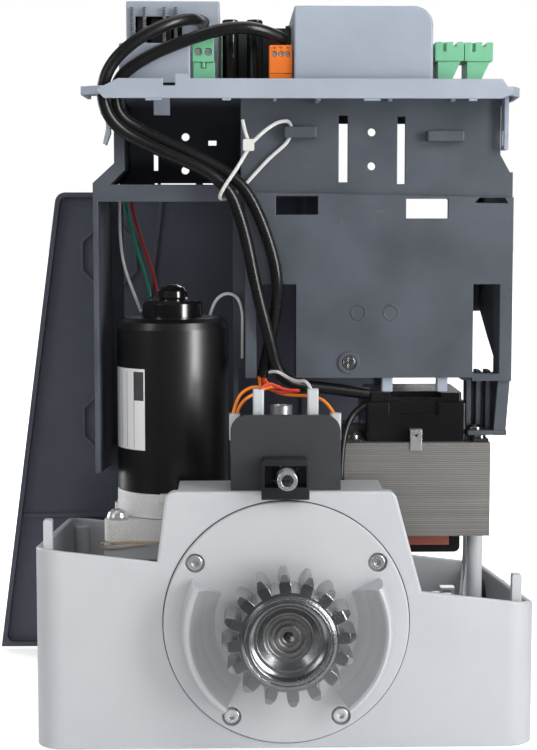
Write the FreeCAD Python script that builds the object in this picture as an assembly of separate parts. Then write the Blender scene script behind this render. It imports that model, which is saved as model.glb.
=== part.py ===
import FreeCAD, Part
import math
import os

# Sliding gate motor. +Z up, floor at z = 0, x = 0 on the output shaft axis,
# y = 0 in the middle of the base, the pinion side faces -y. All values in mm.

os.makedirs("parts", exist_ok=True)

V = FreeCAD.Vector

# Overall and drive dimensions
baseW = 280.0
baseD = 210.0
wall = 4.0
floorT = 6.0
axisZ = 71.5
frontY = -baseD / 2
rearY = baseD / 2
hw = baseW / 2
hingeX = 84.0
glandY = 62.0
glandZ = 44.0
hingeY = rearY + 7.0
shaftR = 12.5
runGap = 0.05

# Rack pinion
pinionModule = 4.0
pinionTeeth = 16
pinionFront = -149.0
pinionBack = -121.0

# Worm drive
wormModule = 2.5
wheelTeeth = 36
wormPitchR = 20.0
wheelPitchR = wormModule * wheelTeeth / 2
motorX = -(wheelPitchR + wormPitchR)
motorY = -25.0
wormTipR = wormPitchR + 2.2
wormRootR = wormPitchR - 3.0
wormPitch = math.pi * wormModule

# Gearbox
cavityR = wheelPitchR + wormModule + 1.3
housingWall = 4.2
housingR = cavityR + housingWall
coverR = 68.4
coverFront = frontY - 2.0
coverBack = frontY + 5.0
bearingR = 26.0
bearingW = 15.0

# Motor
motorR = 33.2
ringZ = 121.0
canZ = 135.7
canTop = 237.4
plateZ = 108.3

# Electronics frame and tray
panelY = -48.0
lowerPanelY = -52.0
frameTop = 366.0
boardZ = 370.2
boardT = 1.6

# Transformer
coreX0 = 35.4
coreX1 = 121.2
coreY0 = -53.0
coreY1 = 19.0
coreZ0 = 109.7
coreZ1 = 164.9
coilX = (coreX0 + coreX1) / 2
coilY = (coreY0 + coreY1) / 2

# Cables
cableR = 3.5
wireR = 0.95
leadR = 1.9
leadEndZ = axisZ + math.sqrt(housingR ** 2 - 33.0 ** 2) + 1.627


def box(x0, x1, y0, y1, z0, z1):
    return Part.makeBox(x1 - x0, y1 - y0, z1 - z0, V(x0, y0, z0))


def cylX(x0, x1, y, z, r):
    return Part.makeCylinder(r, x1 - x0, V(x0, y, z), V(1, 0, 0))


def cylY(x, z, y0, y1, r):
    return Part.makeCylinder(r, y1 - y0, V(x, y0, z), V(0, 1, 0))


def cylZ(x, y, z0, z1, r):
    return Part.makeCylinder(r, z1 - z0, V(x, y, z0), V(0, 0, 1))


def prismY(points, y0, y1):
    ring = [V(x, y0, z) for x, z in points]
    face = Part.Face(Part.makePolygon(ring + [ring[0]]))
    return face.extrude(V(0, y1 - y0, 0))


def prismZ(points, z0, z1):
    ring = [V(x, y, z0) for x, y in points]
    face = Part.Face(Part.makePolygon(ring + [ring[0]]))
    return face.extrude(V(0, 0, z1 - z0))


def prismX(points, x0, x1):
    ring = [V(x0, y, z) for y, z in points]
    face = Part.Face(Part.makePolygon(ring + [ring[0]]))
    return face.extrude(V(x1 - x0, 0, 0))


def union(shapes):
    whole = shapes[0].fuse(shapes[1:]) if len(shapes) > 1 else shapes[0]
    return whole.removeSplitter()


def softened(shape, radius, wanted):
    # Rounds the edges for which wanted(edge) is true.
    edges = [e for e in shape.Edges if wanted(e)]
    if not edges:
        return shape
    try:
        done = shape.makeFillet(radius, edges)
        if done.isValid() and done.Volume > 0:
            return done
    except Exception:
        pass
    return shape


def along(edge, axis):
    a = edge.Vertexes[0].Point
    b = edge.Vertexes[-1].Point
    d = b - a
    if d.Length < 1e-6:
        return False
    d.normalize()
    return abs(d.dot(axis)) > 0.9999


def roundedBox(x0, x1, y0, y1, z0, z1, r, axis):
    solid = box(x0, x1, y0, y1, z0, z1)
    return softened(solid, r, lambda e: along(e, axis))


def revolved(points, origin, axis, side, angle=360.0):
    # points are (distance from the axis, position along it)
    ring = [origin + side * p + axis * q for p, q in points]
    face = Part.Face(Part.makePolygon(ring + [ring[0]]))
    return face.revolve(origin, axis, angle)


def tube(route, r, name="", limp=False):
    # Straight runs joined by tangent arcs, swept by a disc.
    pts = [V(*p) for p in route]
    edges = []
    last = pts[0]
    radii = []
    for i in range(1, len(pts) - 1):
        a = pts[i - 1]
        b = pts[i]
        c = pts[i + 1]
        u = (b - a)
        w = (c - b)
        run = min(u.Length, w.Length)
        u.normalize()
        w.normalize()
        turn = math.acos(max(-1.0, min(1.0, u.dot(w))))
        if turn < 0.01:
            continue
        cut = 0.45 * run
        radii.append(cut / math.tan(turn / 2))
        start = b - u * cut
        end = b + w * cut
        inner = (w - u)
        inner.normalize()
        reach = cut / math.tan(turn / 2)
        middle = b + inner * (reach / math.cos(turn / 2) - reach)
        if (start - last).Length > 1e-4:
            edges.append(Part.LineSegment(last, start).toShape())
        edges.append(Part.Arc(start, middle, end).toShape())
        last = end
    edges.append(Part.LineSegment(last, pts[-1]).toShape())
    path = Part.Wire(edges)
    first = pts[1] - pts[0]
    disc = Part.Wire([Part.makeCircle(r, pts[0], first)])
    solid = path.makePipeShell([disc], True, False)
    if solid.Volume < 0:
        solid.reverse()
    expected = math.pi * r * r * path.Length
    tightest = min(radii) if radii else 0.0
    print("cord", name, "length", round(path.Length, 1), "tightest", round(tightest, 1),
          "volume ratio", round(solid.Volume / expected, 3), "valid", solid.isValid())
    return solid


def polar(r, deg):
    a = math.radians(deg)
    return (r * math.cos(a), axisZ + r * math.sin(a))


written = []


def save(name, shape):
    solids = shape.Solids
    if len(solids) == 1:
        shape = solids[0]
    shape.exportStep("parts/" + name + ".step")
    b = shape.BoundBox
    written.append(name)
    print(f"{name:24s} solids {len(solids):2d} valid {shape.isValid()} vol {shape.Volume:10.0f}"
          f"  x {b.XMin:7.1f} {b.XMax:7.1f} y {b.YMin:7.1f} {b.YMax:7.1f} z {b.ZMin:6.1f} {b.ZMax:6.1f}")


# ---------------------------------------------------------------- base casting
rimMid = 87.35
rimSlopeX = -0.1179
rimSlopeY = -0.0967


def rimZ(x, y):
    return rimMid + rimSlopeX * x + rimSlopeY * y


def rimCutter():
    # Everything above the slanting rim plane.
    corners = []
    for x, y in ((-200, -160), (200, -160), (200, 160), (-200, 160)):
        corners.append(V(x, y, rimZ(x, y)))
    face = Part.Face(Part.makePolygon(corners + [corners[0]]))
    return face.extrude(V(0, 0, 260))


cornerR = 16.0
outer = roundedBox(-hw, hw, frontY, rearY, 0, 150, cornerR, V(0, 0, 1))
inner = roundedBox(-hw + wall, hw - wall, frontY + wall, rearY - wall, floorT, 151,
                   cornerR - wall, V(0, 0, 1))
tub = outer.cut(inner).cut(rimCutter())
tub = softened(tub, 1.2, lambda e: e.BoundBox.ZMax > 55 and e.BoundBox.ZMin > 55
               and e.BoundBox.XLength + e.BoundBox.YLength > 4)

wallTop = 145.2
frontWallT = 7.0
shield = [(-71.7, 40), (-71.7, 106), (-66.4, wallTop), (60.2, wallTop), (75.5, 88.6), (75.5, 40)]
shieldWall = prismY(shield, frontY, frontY + frontWallT)
shieldWall = softened(shieldWall, 6.0, lambda e: along(e, V(0, 1, 0)) and e.BoundBox.ZMin > 140)
shieldWall = softened(shieldWall, 1.6, lambda e: abs(e.BoundBox.YMin - frontY) < 0.01
                      and e.BoundBox.YLength < 0.01 and e.BoundBox.ZMin > 95)

shelf = box(-60, 54, frontY + frontWallT, frontY + 39, 139.5, wallTop)
shelfRibs = [box(x, x + 4, frontY + frontWallT, frontY + 35, 118, 139.5) for x in (-40, 24)]

ledge = cylY(0, axisZ, frontY + 0.5, frontY + 11, 73.0)
housing = cylY(0, axisZ, frontY + 7, -2, housingR)
footBlock = box(-housingR, housingR, frontY + 9, -2, 1, axisZ)
rearBoss = cylY(0, axisZ, -4, 20, 31)
rearFoot = box(-20, 20, -4, 14, 2, axisZ)
wormColumn = cylZ(motorX, motorY, 3, plateZ - 1.0, 27.6)
seat = prismZ([(-104, -62), (-86, -62), (-60, -57.5), (-36, -57.5), (-36, 9), (-100, 9), (-104, -2)],
              98, plateZ - 1.0)
lugX = -96.6
lugY = -52.0
lugPost = cylZ(lugX, lugY, 3, plateZ - 1.0, 6.8)
rearLugX = -94.2
rearLugY = 4.4
rearLug = cylZ(rearLugX, rearLugY, 3, plateZ - 1.0, 6.5)

screwCircleR = coverR - 7.4
screwSpots = [polar(screwCircleR, a) for a in (34, 146, 240, 300)]
screwBosses = [cylY(x, z, frontY + 5, frontY + 23, 5.8) for x, z in screwSpots]

posts = []
for x, y, r in ((116.0, -30.0, 4.6), (117.6, 4.0, 3.6), (42.0, 8.0, 4.6)):
    posts.append(cylZ(x, y, 3, coreZ0, r))
gusset = prismY([(101.0, 6), (112.0, 6), (112.0, 100)], -31.2, -28.8)
gussetR = prismY([(106.0, 6), (114.6, 6), (114.6, 92)], 2.8, 5.2)

frontPosts = []
for x0, x1, yb, top in ((4.8 - hw, 9.8 - hw, frontY + 8.5, 128.2), (hw - 12.6, hw - 7.2, frontY + 8.5, 96.0)):
    frontPosts.append(roundedBox(x0, x1, yb, yb + 6, 4, top, 1.2, V(0, 1, 0)))
    frontPosts.append(box(x0 + 1, x1 - 1, frontY + 2, yb + 1, 4, top - 24).common(outer))
    side = x0 - 5 if x0 < 0 else x1 - 1
    frontPosts.append(box(side, side + 6, yb + 1.5, yb + 4.5, 4, top - 24).common(outer))

cornerBosses = []
for x, y in ((8.8 - hw, rearY - 10.5), (hw - 7.0, rearY - 10.5), (-60.0, rearY - 9.5), (60.0, rearY - 9.5)):
    cornerBosses.append(cylZ(x, y, 3, rimZ(x, y) - 5, 5.2))
    cornerBosses.append(box(x - 2, x + 2, y, rearY - 1, 3, rimZ(x, y) - 6))

ribs = [box(74, 76.5, frontY + 7, -12, 3, 66), box(-80, -77.5, 30, rearY - 3, 3, 40),
        box(70, 72.5, 40, rearY - 3, 3, 48)]
legBoss = box(-111, -94, 24, 52, 3, 20)
tieBoss = cylZ(101.0, 30.0, 3, 52, 6.0)
lowHinge = union([box(hingeX - 8, hingeX + 8, rearY - 3, rearY + 3, 26, 54), cylZ(hingeX, hingeY, 26, 54, 5.5),
                  box(hingeX - 4, hingeX + 4, rearY, hingeY, 26, 54)]).cut(cylZ(hingeX, hingeY, 20, 60, 3.0 + runGap))

base = union([tub, shieldWall, shelf, ledge, housing, footBlock, rearBoss, rearFoot, wormColumn, seat,
              lugPost, rearLug, gusset, gussetR, legBoss, tieBoss, lowHinge] + shelfRibs + screwBosses
             + posts + frontPosts + cornerBosses + ribs)

# Machined openings
base = base.cut(cylY(0, axisZ, frontY - 1, coverBack, coverR + 0.4))
base = base.cut(cylY(0, axisZ, coverBack - 1, -9, cavityR))
base = base.cut(cylY(0, axisZ, -10, 1.0, 22.0))
base = base.cut(cylY(0, axisZ, 1.0, 1.0 + bearingW, bearingR))
base = base.cut(cylZ(motorX, motorY, 30, plateZ + 1, 23.2))
base = base.cut(cylZ(motorX, motorY, 21, 31, 16.0))
base = base.cut(cylZ(lugX, lugY, 84, plateZ, 3.0))
base = base.cut(cylZ(rearLugX, rearLugY, 84, plateZ, 3.0))
for x, z in screwSpots:
    base = base.cut(cylY(x, z, frontY + 4, frontY + 19, 2.5))
# Flat relief under the transformer and over the wheel housing
base = base.cut(box(34, 60, coreY0 - 3, 3, coreZ0 - 0.6, 130).cut(cylZ(42, 8, 100, 130, 4.6)))
# Cable entry in the floor and fixing slots
base = base.cut(roundedBox(84, 108, 50, 82, -1, floorT + 1, 8.0, V(0, 0, 1)))
for x in (-118.0, 118.0):
    for y in (-62.0, 62.0):
        base = base.cut(cylZ(x, y, -1, floorT + 1, 5.5))
base = base.cut(cylX(hw - 10, hw + 5, glandY, glandZ, 10.0))
base = base.cut(cylZ(101.0, 30.0, 45.0, 53.0, 1.9))
base = base.cut(cylY(0, axisZ, 15.0, 18.2, shaftR + 1.0))
base = base.common(box(-200, 200, -200, 200, 0, wallTop))
save("base_casting", base)

# ---------------------------------------------------------------- gearbox cover
cover = cylY(0, axisZ, coverFront, coverBack, coverR)
cover = softened(cover, 1.0, lambda e: abs(e.BoundBox.YMin - coverFront) < 0.01)
cover = cover.fuse(cylY(0, axisZ, coverBack, coverBack + 8, cavityR - 0.4))
cover = cover.fuse(cylY(0, axisZ, coverBack + 8, coverBack + 26, 31))
for x, z in screwSpots:
    cover = cover.cut(cylY(x, z, coverFront - 1, coverFront + 4.2, 5.4))
    cover = cover.cut(cylY(x, z, coverFront, coverBack + 10, 2.9))
cover = cover.cut(cylY(0, axisZ, coverBack + 9, coverBack + 27, bearingR))
cover = cover.cut(cylY(0, axisZ, coverFront - 1, coverBack + 10, shaftR + 5.0))

guardProfile = [(39.6, 0.0), (57.6, 0.0), (58.4, -8.0), (57.6, -18.0), (56.4, -22.6), (54.8, -23.6),
                (53.4, -22.4), (50.6, -15.0), (46.6, -7.6), (42.4, -2.6)]
for start, sweep in ((154.0, 78.0), (308.0, 78.0)):
    a = math.radians(start)
    side = V(math.cos(a), 0, math.sin(a))
    guard = revolved([(p, q + 0.3) for p, q in guardProfile], V(0, coverFront, axisZ), V(0, 1, 0), side)
    face = [V(0, coverFront, axisZ) + side * p + V(0, 1, 0) * (q + 0.3) for p, q in guardProfile]
    flat = Part.Face(Part.makePolygon(face + [face[0]]))
    guard = flat.revolve(V(0, coverFront, axisZ), V(0, -1, 0), sweep)
    cover = cover.fuse(guard)
save("gearbox_cover", cover.removeSplitter())

# Socket screws of the cover
screws = []
for x, z in screwSpots:
    head = cylY(x, z, coverFront + 0.6, coverFront + 4.2, 4.2)
    head = softened(head, 0.7, lambda e: abs(e.BoundBox.YMin - (coverFront + 0.6)) < 0.01)
    shank = cylY(x, z, coverFront + 4.2, coverBack + 13.5, 2.45)
    hexa = []
    for k in range(6):
        a = math.radians(60 * k + 15)
        hexa.append((x + 2.1 * math.cos(a), z + 2.1 * math.sin(a)))
    socket = prismY(hexa, coverFront, coverFront + 3.0)
    screws.append(head.fuse(shank).cut(socket))
save("cover_screws", Part.makeCompound(screws))

# Shaft seal and bearings
seal = cylY(0, axisZ, coverFront + 0.4, -98.5, shaftR + 4.95).cut(
    cylY(0, axisZ, coverFront - 1, -98, shaftR + 0.25))
seal = seal.cut(cylY(0, axisZ, coverFront, coverFront + 2.2, shaftR + 3.6).cut(
    cylY(0, axisZ, coverFront, coverFront + 2.2, shaftR + 1.6)))
save("shaft_seal", seal)


def bearing(y0):
    ring = cylY(0, axisZ, y0, y0 + bearingW, bearingR - 0.02)
    ring = ring.cut(cylY(0, axisZ, y0 - 1, y0 + bearingW + 1, shaftR + runGap))
    for y in (y0 - 0.5, y0 + bearingW - 1.0):
        groove = cylY(0, axisZ, y, y + 1.5, bearingR - 5.0).cut(cylY(0, axisZ, y, y + 1.5, shaftR + 4.5))
        ring = ring.cut(groove)
    return ring


outputBearings = [bearing(-90.0), bearing(1.0)]

# ---------------------------------------------------------------- output shaft group
shaftFront = -138.5
shaft = cylY(0, axisZ, shaftFront, 17.5, shaftR)
for r0, r1, depth in ((11.4, 9.6, 0.9), (8.4, 6.6, 1.5), (5.2, 0.0, 1.2)):
    groove = cylY(0, axisZ, shaftFront - 0.1, shaftFront + depth, r0)
    if r1 > 0:
        groove = groove.cut(cylY(0, axisZ, shaftFront - 0.1, shaftFront + depth, r1))
    shaft = shaft.cut(groove)
shaft = shaft.cut(Part.makeCone(3.2, 0.6, 4.5, V(0, shaftFront + 1.1, axisZ), V(0, 1, 0)))
shaft = shaft.fuse(cylY(0, axisZ, -74.5, -36.0, 17.0))
save("output_shaft", shaft.removeSplitter())


def involute(baseRadius, r):
    t = math.sqrt(max(0.0, (r / baseRadius) ** 2 - 1.0))
    return t - math.atan(t)


def gearWire(module, teeth, y, rootR, tipR, thin, phase):
    pitchR = module * teeth / 2
    baseRadius = pitchR * math.cos(math.radians(20))
    half = math.pi / (2 * teeth) - thin / pitchR
    invPitch = involute(baseRadius, pitchR)
    radii = [max(rootR, baseRadius) + (tipR - max(rootR, baseRadius)) * k / 4.0 for k in range(5)]
    edges = []
    step = 2 * math.pi / teeth

    def at(r, a):
        return V(r * math.cos(a), y, axisZ + r * math.sin(a))

    for n in range(teeth):
        mid = phase + n * step
        left = []
        right = []
        for r in radii:
            off = half + invPitch - involute(baseRadius, r)
            left.append(at(r, mid - off))
            right.append(at(r, mid + off))
        if rootR < baseRadius:
            off = half + invPitch
            left.insert(0, at(rootR, mid - off * 1.04))
            right.insert(0, at(rootR, mid + off * 1.04))
        rootOff = (half + invPitch) * 1.04
        if rootR >= baseRadius:
            rootOff = half + invPitch - involute(baseRadius, rootR)
        up = Part.BSplineCurve()
        up.interpolate(left[1:] if rootR < baseRadius else left)
        down = Part.BSplineCurve()
        rightDown = list(reversed(right[1:] if rootR < baseRadius else right))
        down.interpolate(rightDown)
        if rootR < baseRadius:
            edges.append(Part.LineSegment(left[0], left[1]).toShape())
        edges.append(up.toShape())
        edges.append(Part.Arc(left[-1], at(tipR, mid), right[-1]).toShape())
        edges.append(down.toShape())
        if rootR < baseRadius:
            edges.append(Part.LineSegment(right[1], right[0]).toShape())
        nextStart = at(rootR, mid + step - rootOff)
        edges.append(Part.Arc(right[0], at(rootR, mid + step / 2), nextStart).toShape())
    return Part.Wire(edges)


pinionPitchR = pinionModule * pinionTeeth / 2
pinionTipR = pinionPitchR + pinionModule
pinionRootR = pinionPitchR - 1.25 * pinionModule
pinionFace = Part.Face(gearWire(pinionModule, pinionTeeth, pinionFront, pinionRootR, pinionTipR, 0.10,
                                math.radians(90 + 4)))
pinion = pinionFace.extrude(V(0, pinionBack - pinionFront, 0))
# Chamfer over the tooth ends
tipCone = revolved([(0, -0.01), (pinionTipR - 3.2, -0.01), (pinionTipR + 1.0, 4.2),
                    (pinionTipR + 1.0, 26.0), (pinionTipR - 1.2, 28.2), (0, 28.2)],
                   V(0, pinionFront, axisZ), V(0, 1, 0), V(1, 0, 0))
pinion = pinion.common(tipCone)
hub = cylY(0, axisZ, pinionBack - 0.5, -107.5, 20.0)
nose = revolved([(0, -1.0), (24.2, -1.0), (25.6, 0.2), (26.6, 0.2), (26.6, 1.0), (0, 1.0)],
                V(0, pinionFront, axisZ), V(0, 1, 0), V(1, 0, 0))
pinion = pinion.fuse([hub, nose])
bore = revolved([(0, -2.0), (21.6, -2.0), (20.8, -0.2), (20.8, 6.0), (19.0, 7.2), (17.2, 7.2),
                 (13.4, 10.6), (shaftR, 10.6), (shaftR, 50.0), (0, 50.0)],
                V(0, pinionFront, axisZ), V(0, 1, 0), V(1, 0, 0))
pinion = pinion.cut(bore)
for r0, r1 in ((23.6, 22.8), (25.2, 24.6)):
    ringCut = cylY(0, axisZ, pinionFront - 1.2, pinionFront - 0.4, r0).cut(
        cylY(0, axisZ, pinionFront - 1.2, pinionFront - 0.4, r1))
    pinion = pinion.cut(ringCut)
save("rack_pinion", pinion.removeSplitter())

wheelY0 = motorY - 8.0
wheelY1 = motorY + 8.0
wheelTipR = wheelPitchR + 2.0
wheelRootR = wheelPitchR - 2.9
wheelFace = Part.Face(gearWire(wormModule, wheelTeeth, wheelY0, wheelRootR, wheelTipR, 0.55, math.pi))
wheel = wheelFace.extrude(V(0, wheelY1 - wheelY0, 0))
wheel = wheel.cut(cylY(0, axisZ, wheelY0 - 1, wheelY0 + 4, 38).cut(cylY(0, axisZ, wheelY0 - 1, wheelY0 + 4, 24)))
wheel = wheel.cut(cylY(0, axisZ, wheelY1 - 4, wheelY1 + 1, 38).cut(cylY(0, axisZ, wheelY1 - 4, wheelY1 + 1, 24)))
wheel = wheel.fuse(cylY(0, axisZ, wheelY1 - 0.5, -9.6, 20))
wheel = wheel.cut(cylY(0, axisZ, -60, 0, shaftR))
wheel = wheel.cut(cylY(0, axisZ, -60, -35.9, 17.0))
save("worm_wheel", wheel.removeSplitter())

# ---------------------------------------------------------------- armature group
wormZ0 = axisZ - 26.0
wormZ1 = axisZ + 26.0
core = cylZ(motorX, motorY, wormZ0, wormZ1, wormRootR)


def helixThread():
    # One-start thread: a trapezoid carried along a helix.
    height = wormZ1 - wormZ0 - 4.0
    turns = height / wormPitch
    helix = Part.makeHelix(wormPitch, height - wormPitch, wormRootR)
    rIn = wormRootR - 0.6
    rOut = wormTipR
    profile = Part.makePolygon([V(rIn, 0, -2.5), V(rOut, 0, -0.75), V(rOut, 0, 0.75), V(rIn, 0, 2.5),
                                V(rIn, 0, -2.5)])
    sweep = Part.Wire(helix).makePipeShell([Part.Wire(profile)], True, True)
    return sweep


try:
    thread = helixThread()
    if thread.Volume < 0:
        thread.reverse()
    # A thread crest stands level with the wheel axis gap on the side towards the wheel.
    startZ = axisZ + wormPitch / 2 - 2.0 * wormPitch
    thread.translate(V(motorX, motorY, startZ - wormPitch))
    worm = core.fuse(thread)
    if not worm.isValid() or len(worm.Solids) != 1:
        raise ValueError("thread")
except Exception as problem:
    print("worm thread drawn as rings:", problem)
    rings = []
    for k in range(-3, 3):
        zc = axisZ + wormPitch * (k + 0.5)
        rings.append(revolved([(wormRootR - 0.5, zc - 2.5), (wormTipR, zc - 0.75), (wormTipR, zc + 0.75),
                               (wormRootR - 0.5, zc + 2.5)], V(motorX, motorY, 0), V(0, 0, 1), V(1, 0, 0)))
    worm = core.fuse(rings)
worm = worm.fuse(cylZ(motorX, motorY, 21.5, wormZ0, 6.0))
worm = worm.fuse(cylZ(motorX, motorY, wormZ1, 232.0, 5.0))
save("worm_shaft", worm.removeSplitter())

rotor = cylZ(motorX, motorY, 156.0, 206.0, 20.0).cut(cylZ(motorX, motorY, 150, 210, 5.0))
for k in range(12):
    a = 2 * math.pi * k / 12
    slot = box(motorX + 13, motorX + 21, motorY - 1.0, motorY + 1.0, 150, 210)
    slot.rotate(V(motorX, motorY, 0), V(0, 0, 1), math.degrees(a))
    rotor = rotor.cut(slot)
commutator = cylZ(motorX, motorY, 206.0, 222.0, 11.0).cut(cylZ(motorX, motorY, 200, 230, 5.0))
save("motor_rotor", rotor.fuse(commutator).removeSplitter())

# Small bearings of the worm
lowBearing = cylZ(motorX, motorY, 21.2, 30.0, 15.98).cut(cylZ(motorX, motorY, 20, 31, 6.0 + runGap))
topBearing = cylZ(motorX, motorY, plateZ + 0.2, plateZ + 9.8, 13.98).cut(
    cylZ(motorX, motorY, 100, 130, 5.0 + runGap))
save("ball_bearings", Part.makeCompound(outputBearings + [lowBearing, topBearing]))

# ---------------------------------------------------------------- motor
plateOutline = [(-98, -60.5), (-88, -58.5), (-62, -59.0), (-36, -57.0), (-33.5, -50), (-33.5, 2),
                (-40, 9.0), (-92, 10.0), (-99, 6.0), (-99.5, -18.0), (-101.5, -40.0)]
plate = prismZ(plateOutline, plateZ, 120.8)
plate = softened(plate, 3.0, lambda e: along(e, V(0, 0, 1)))
plate = plate.fuse([cylZ(lugX, lugY, plateZ, 120.8, 7.8), cylZ(rearLugX, rearLugY, plateZ, 120.8, 8.0)])
plate = plate.cut(cylZ(motorX, motorY, 100, 122, 10.0))
plate = plate.cut(cylZ(motorX, motorY, plateZ - 1, plateZ + 9.8, 14.0))
plate = plate.cut(cylY(0, axisZ, -99, 0, housingR + 0.5))
plate = plate.cut(cylZ(lugX, lugY, 100, 125, 3.1)).cut(cylZ(rearLugX, rearLugY, 100, 125, 3.1))
plate = softened(plate, 0.9, lambda e: e.BoundBox.ZMin > 120.7)
save("motor_plate", plate)

gasketOutline = [(-100.5, -61.0), (-62, -60.0), (-37, -57.4), (-36.4, 8), (-99, 8.6)]
gasket = prismZ(gasketOutline, plateZ - 0.9, plateZ - 0.1)
gasket = gasket.cut(cylZ(motorX, motorY, 100, 122, 23.4))
gasket = gasket.cut(cylY(0, axisZ, -99, 0, housingR + 0.5))
gasket = gasket.cut(cylZ(lugX, lugY, 100, 125, 3.2)).cut(cylZ(rearLugX, rearLugY, 100, 125, 3.2))
save("motor_gasket", gasket)

bolts = []
for x, y in ((lugX, lugY), (rearLugX, rearLugY)):
    dome = revolved([(0, 120.9), (6.4, 120.9), (6.4, 122.2), (5.4, 124.8), (3.4, 126.4), (0, 127.0)],
                    V(x, y, 0), V(0, 0, 1), V(1, 0, 0))
    socket = []
    for k in range(6):
        a = math.radians(60 * k)
        socket.append((x + 2.2 * math.cos(a), y + 2.2 * math.sin(a)))
    dome = dome.cut(prismZ(socket, 123.6, 130))
    bolts.append(dome.fuse(cylZ(x, y, 85.0, 121.0, 2.9)))
save("motor_bolts", Part.makeCompound(bolts))

ring = cylZ(motorX, motorY, ringZ, canZ, motorR)
ring = ring.cut(cylZ(motorX, motorY, ringZ + 5, canZ + 1, motorR - 5))
ring = ring.cut(cylZ(motorX, motorY, ringZ - 1, ringZ + 6, 10.0))
ring = ring.cut(cylZ(motorX, motorY, canZ - 2.4, canZ + 1, motorR - 2.0))
ring = softened(ring, 0.8, lambda e: e.BoundBox.XLength > 2 * motorR - 0.1)
save("motor_flange", ring)

can = revolved([(0, canTop - 2), (motorR - 7, canTop - 2), (motorR - 2, canTop - 7), (motorR - 2, canZ - 2.2),
                (motorR - 2.02, canZ + 0.1), (motorR - 0.1, canZ + 0.1), (motorR - 0.1, canTop - 6.4),
                (motorR - 1.6, canTop - 2.4), (motorR - 5.0, canTop - 0.3), (motorR - 8, canTop),
                (0, canTop)], V(motorX, motorY, 0), V(0, 0, 1), V(1, 0, 0))
can = can.cut(cylZ(motorX, motorY, 230, 240, 12.0))
can = can.cut(cylZ(motorX + 26.5, motorY, 230, 240, 2.6))
save("motor_can", can)

cap = revolved([(0, 239.6), (11.9, 239.6), (11.9, canTop), (17.8, canTop), (17.8, 245.4), (16.6, 247.2),
                (10.0, 248.2), (9.0, 249.0), (8.9, 252.4), (7.0, 255.0), (3.4, 256.4), (0, 256.6)],
               V(motorX, motorY, 0), V(0, 0, 1), V(1, 0, 0))
cap = cap.fuse(cylZ(motorX, motorY, canTop - 2, canTop + 2.4, 11.9).cut(cylZ(motorX, motorY, 230, 239.6, 8.0)))
save("motor_cap", cap.removeSplitter())

magnets = []
shellRing = cylZ(motorX, motorY, 154, 210, motorR - 2.1).cut(cylZ(motorX, motorY, 150, 215, 21.5))
for s in (0, 180):
    wedge = prismZ([(motorX, motorY), (motorX + 40, motorY - 32), (motorX + 40, motorY + 32)], 150, 215)
    wedge.rotate(V(motorX, motorY, 0), V(0, 0, 1), s + 90)
    magnets.append(shellRing.common(wedge))
save("motor_magnets", Part.makeCompound(magnets))

plug = roundedBox(-72.0, -58.0, motorY - motorR - 2.4, motorY - motorR + 1.6, 131.0, 136.4, 1.0, V(0, 1, 0))
plug = plug.cut(cylZ(motorX, motorY, 100, 150, motorR + 0.05))
save("motor_plug", plug)

# ---------------------------------------------------------------- limit switch
plateX0 = -30.8
plateX1 = 30.2
bracket = box(plateX0, plateX1, frontY + 4, frontY + 8, wallTop, 187.0)
bracket = softened(bracket, 9.0, lambda e: along(e, V(0, 1, 0)) and e.BoundBox.ZMin > 180)
bracket = bracket.fuse(box(plateX0, plateX1, frontY + 7.5, frontY + 33, wallTop, wallTop + 3))
bracket = bracket.fuse([prismX([(frontY + 7.5, 148), (frontY + 27, 148), (frontY + 7.5, 172)], x, x + 2.5)
                        for x in (plateX0, plateX1 - 2.5)])
bracket = bracket.cut(box(-8.0, 7.4, frontY + 3, frontY + 8.6, 148.6, 161.4))
save("limit_bracket", bracket.removeSplitter())

boxX0 = -14.0
boxX1 = 12.2
housingLs = box(boxX0, boxX1, frontY - 11, frontY + 3.95, wallTop + 0.1, 164.4)
housingLs = softened(housingLs, 3.0, lambda e: along(e, V(0, 1, 0)) and e.BoundBox.ZMin > 160)
housingLs = housingLs.fuse(box(boxX0, boxX1, frontY - 11, coverFront - 0.2, 142.4, wallTop + 1))
housingLs = housingLs.cut(box(boxX0 + 1.7, boxX1 - 1.7, frontY - 12, frontY + 2, 149.0, 161.0))
housingLs = housingLs.cut(box(-8.0, 7.4, frontY + 1, frontY + 5, 148.6, 161.4))
save("limit_housing", housingLs)

leverZ = 154.9
pivotY = frontY - 0.5
coilOuter = 5.2
coilMean = 4.5
turns = 12
pitch = 1.63
points = [(3.5, 0.0)]
for k in range(turns):
    for f in (0.0, 0.2, 0.5, 0.8):
        points.append((coilOuter - 0.55 * abs(2 * f - 1) ** 2, pitch * (k + f)))
points.append((coilOuter - 0.55, pitch * turns))
points.append((3.5, pitch * turns))
coilLen = pitch * turns
spring = revolved([(p, -q) for p, q in points], V(-0.3, pivotY - 2.4, leverZ), V(0, 1, 0), V(1, 0, 0))
lip = revolved([(3.3, 0), (5.3, 0), (5.5, 0.4), (5.5, 1.4), (5.0, 1.8), (3.3, 1.8)],
               V(-0.3, pivotY - 2.4 - coilLen - 1.7, leverZ), V(0, 1, 0), V(1, 0, 0))
save("limit_spring", spring.fuse(lip).removeSplitter())
pivotBlock = cylY(-0.3, leverZ, pivotY - 4.0, pivotY + 3.4, 3.28)
pivotBlock = pivotBlock.fuse(cylZ(-0.3, pivotY, leverZ - 5.6, leverZ + 5.6, 2.2))
pivotBlock = pivotBlock.fuse(box(-2.3, 1.7, pivotY + 2.0, -97.4, leverZ - 2.0, leverZ + 2.0))
save("limit_lever", pivotBlock.removeSplitter())

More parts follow.
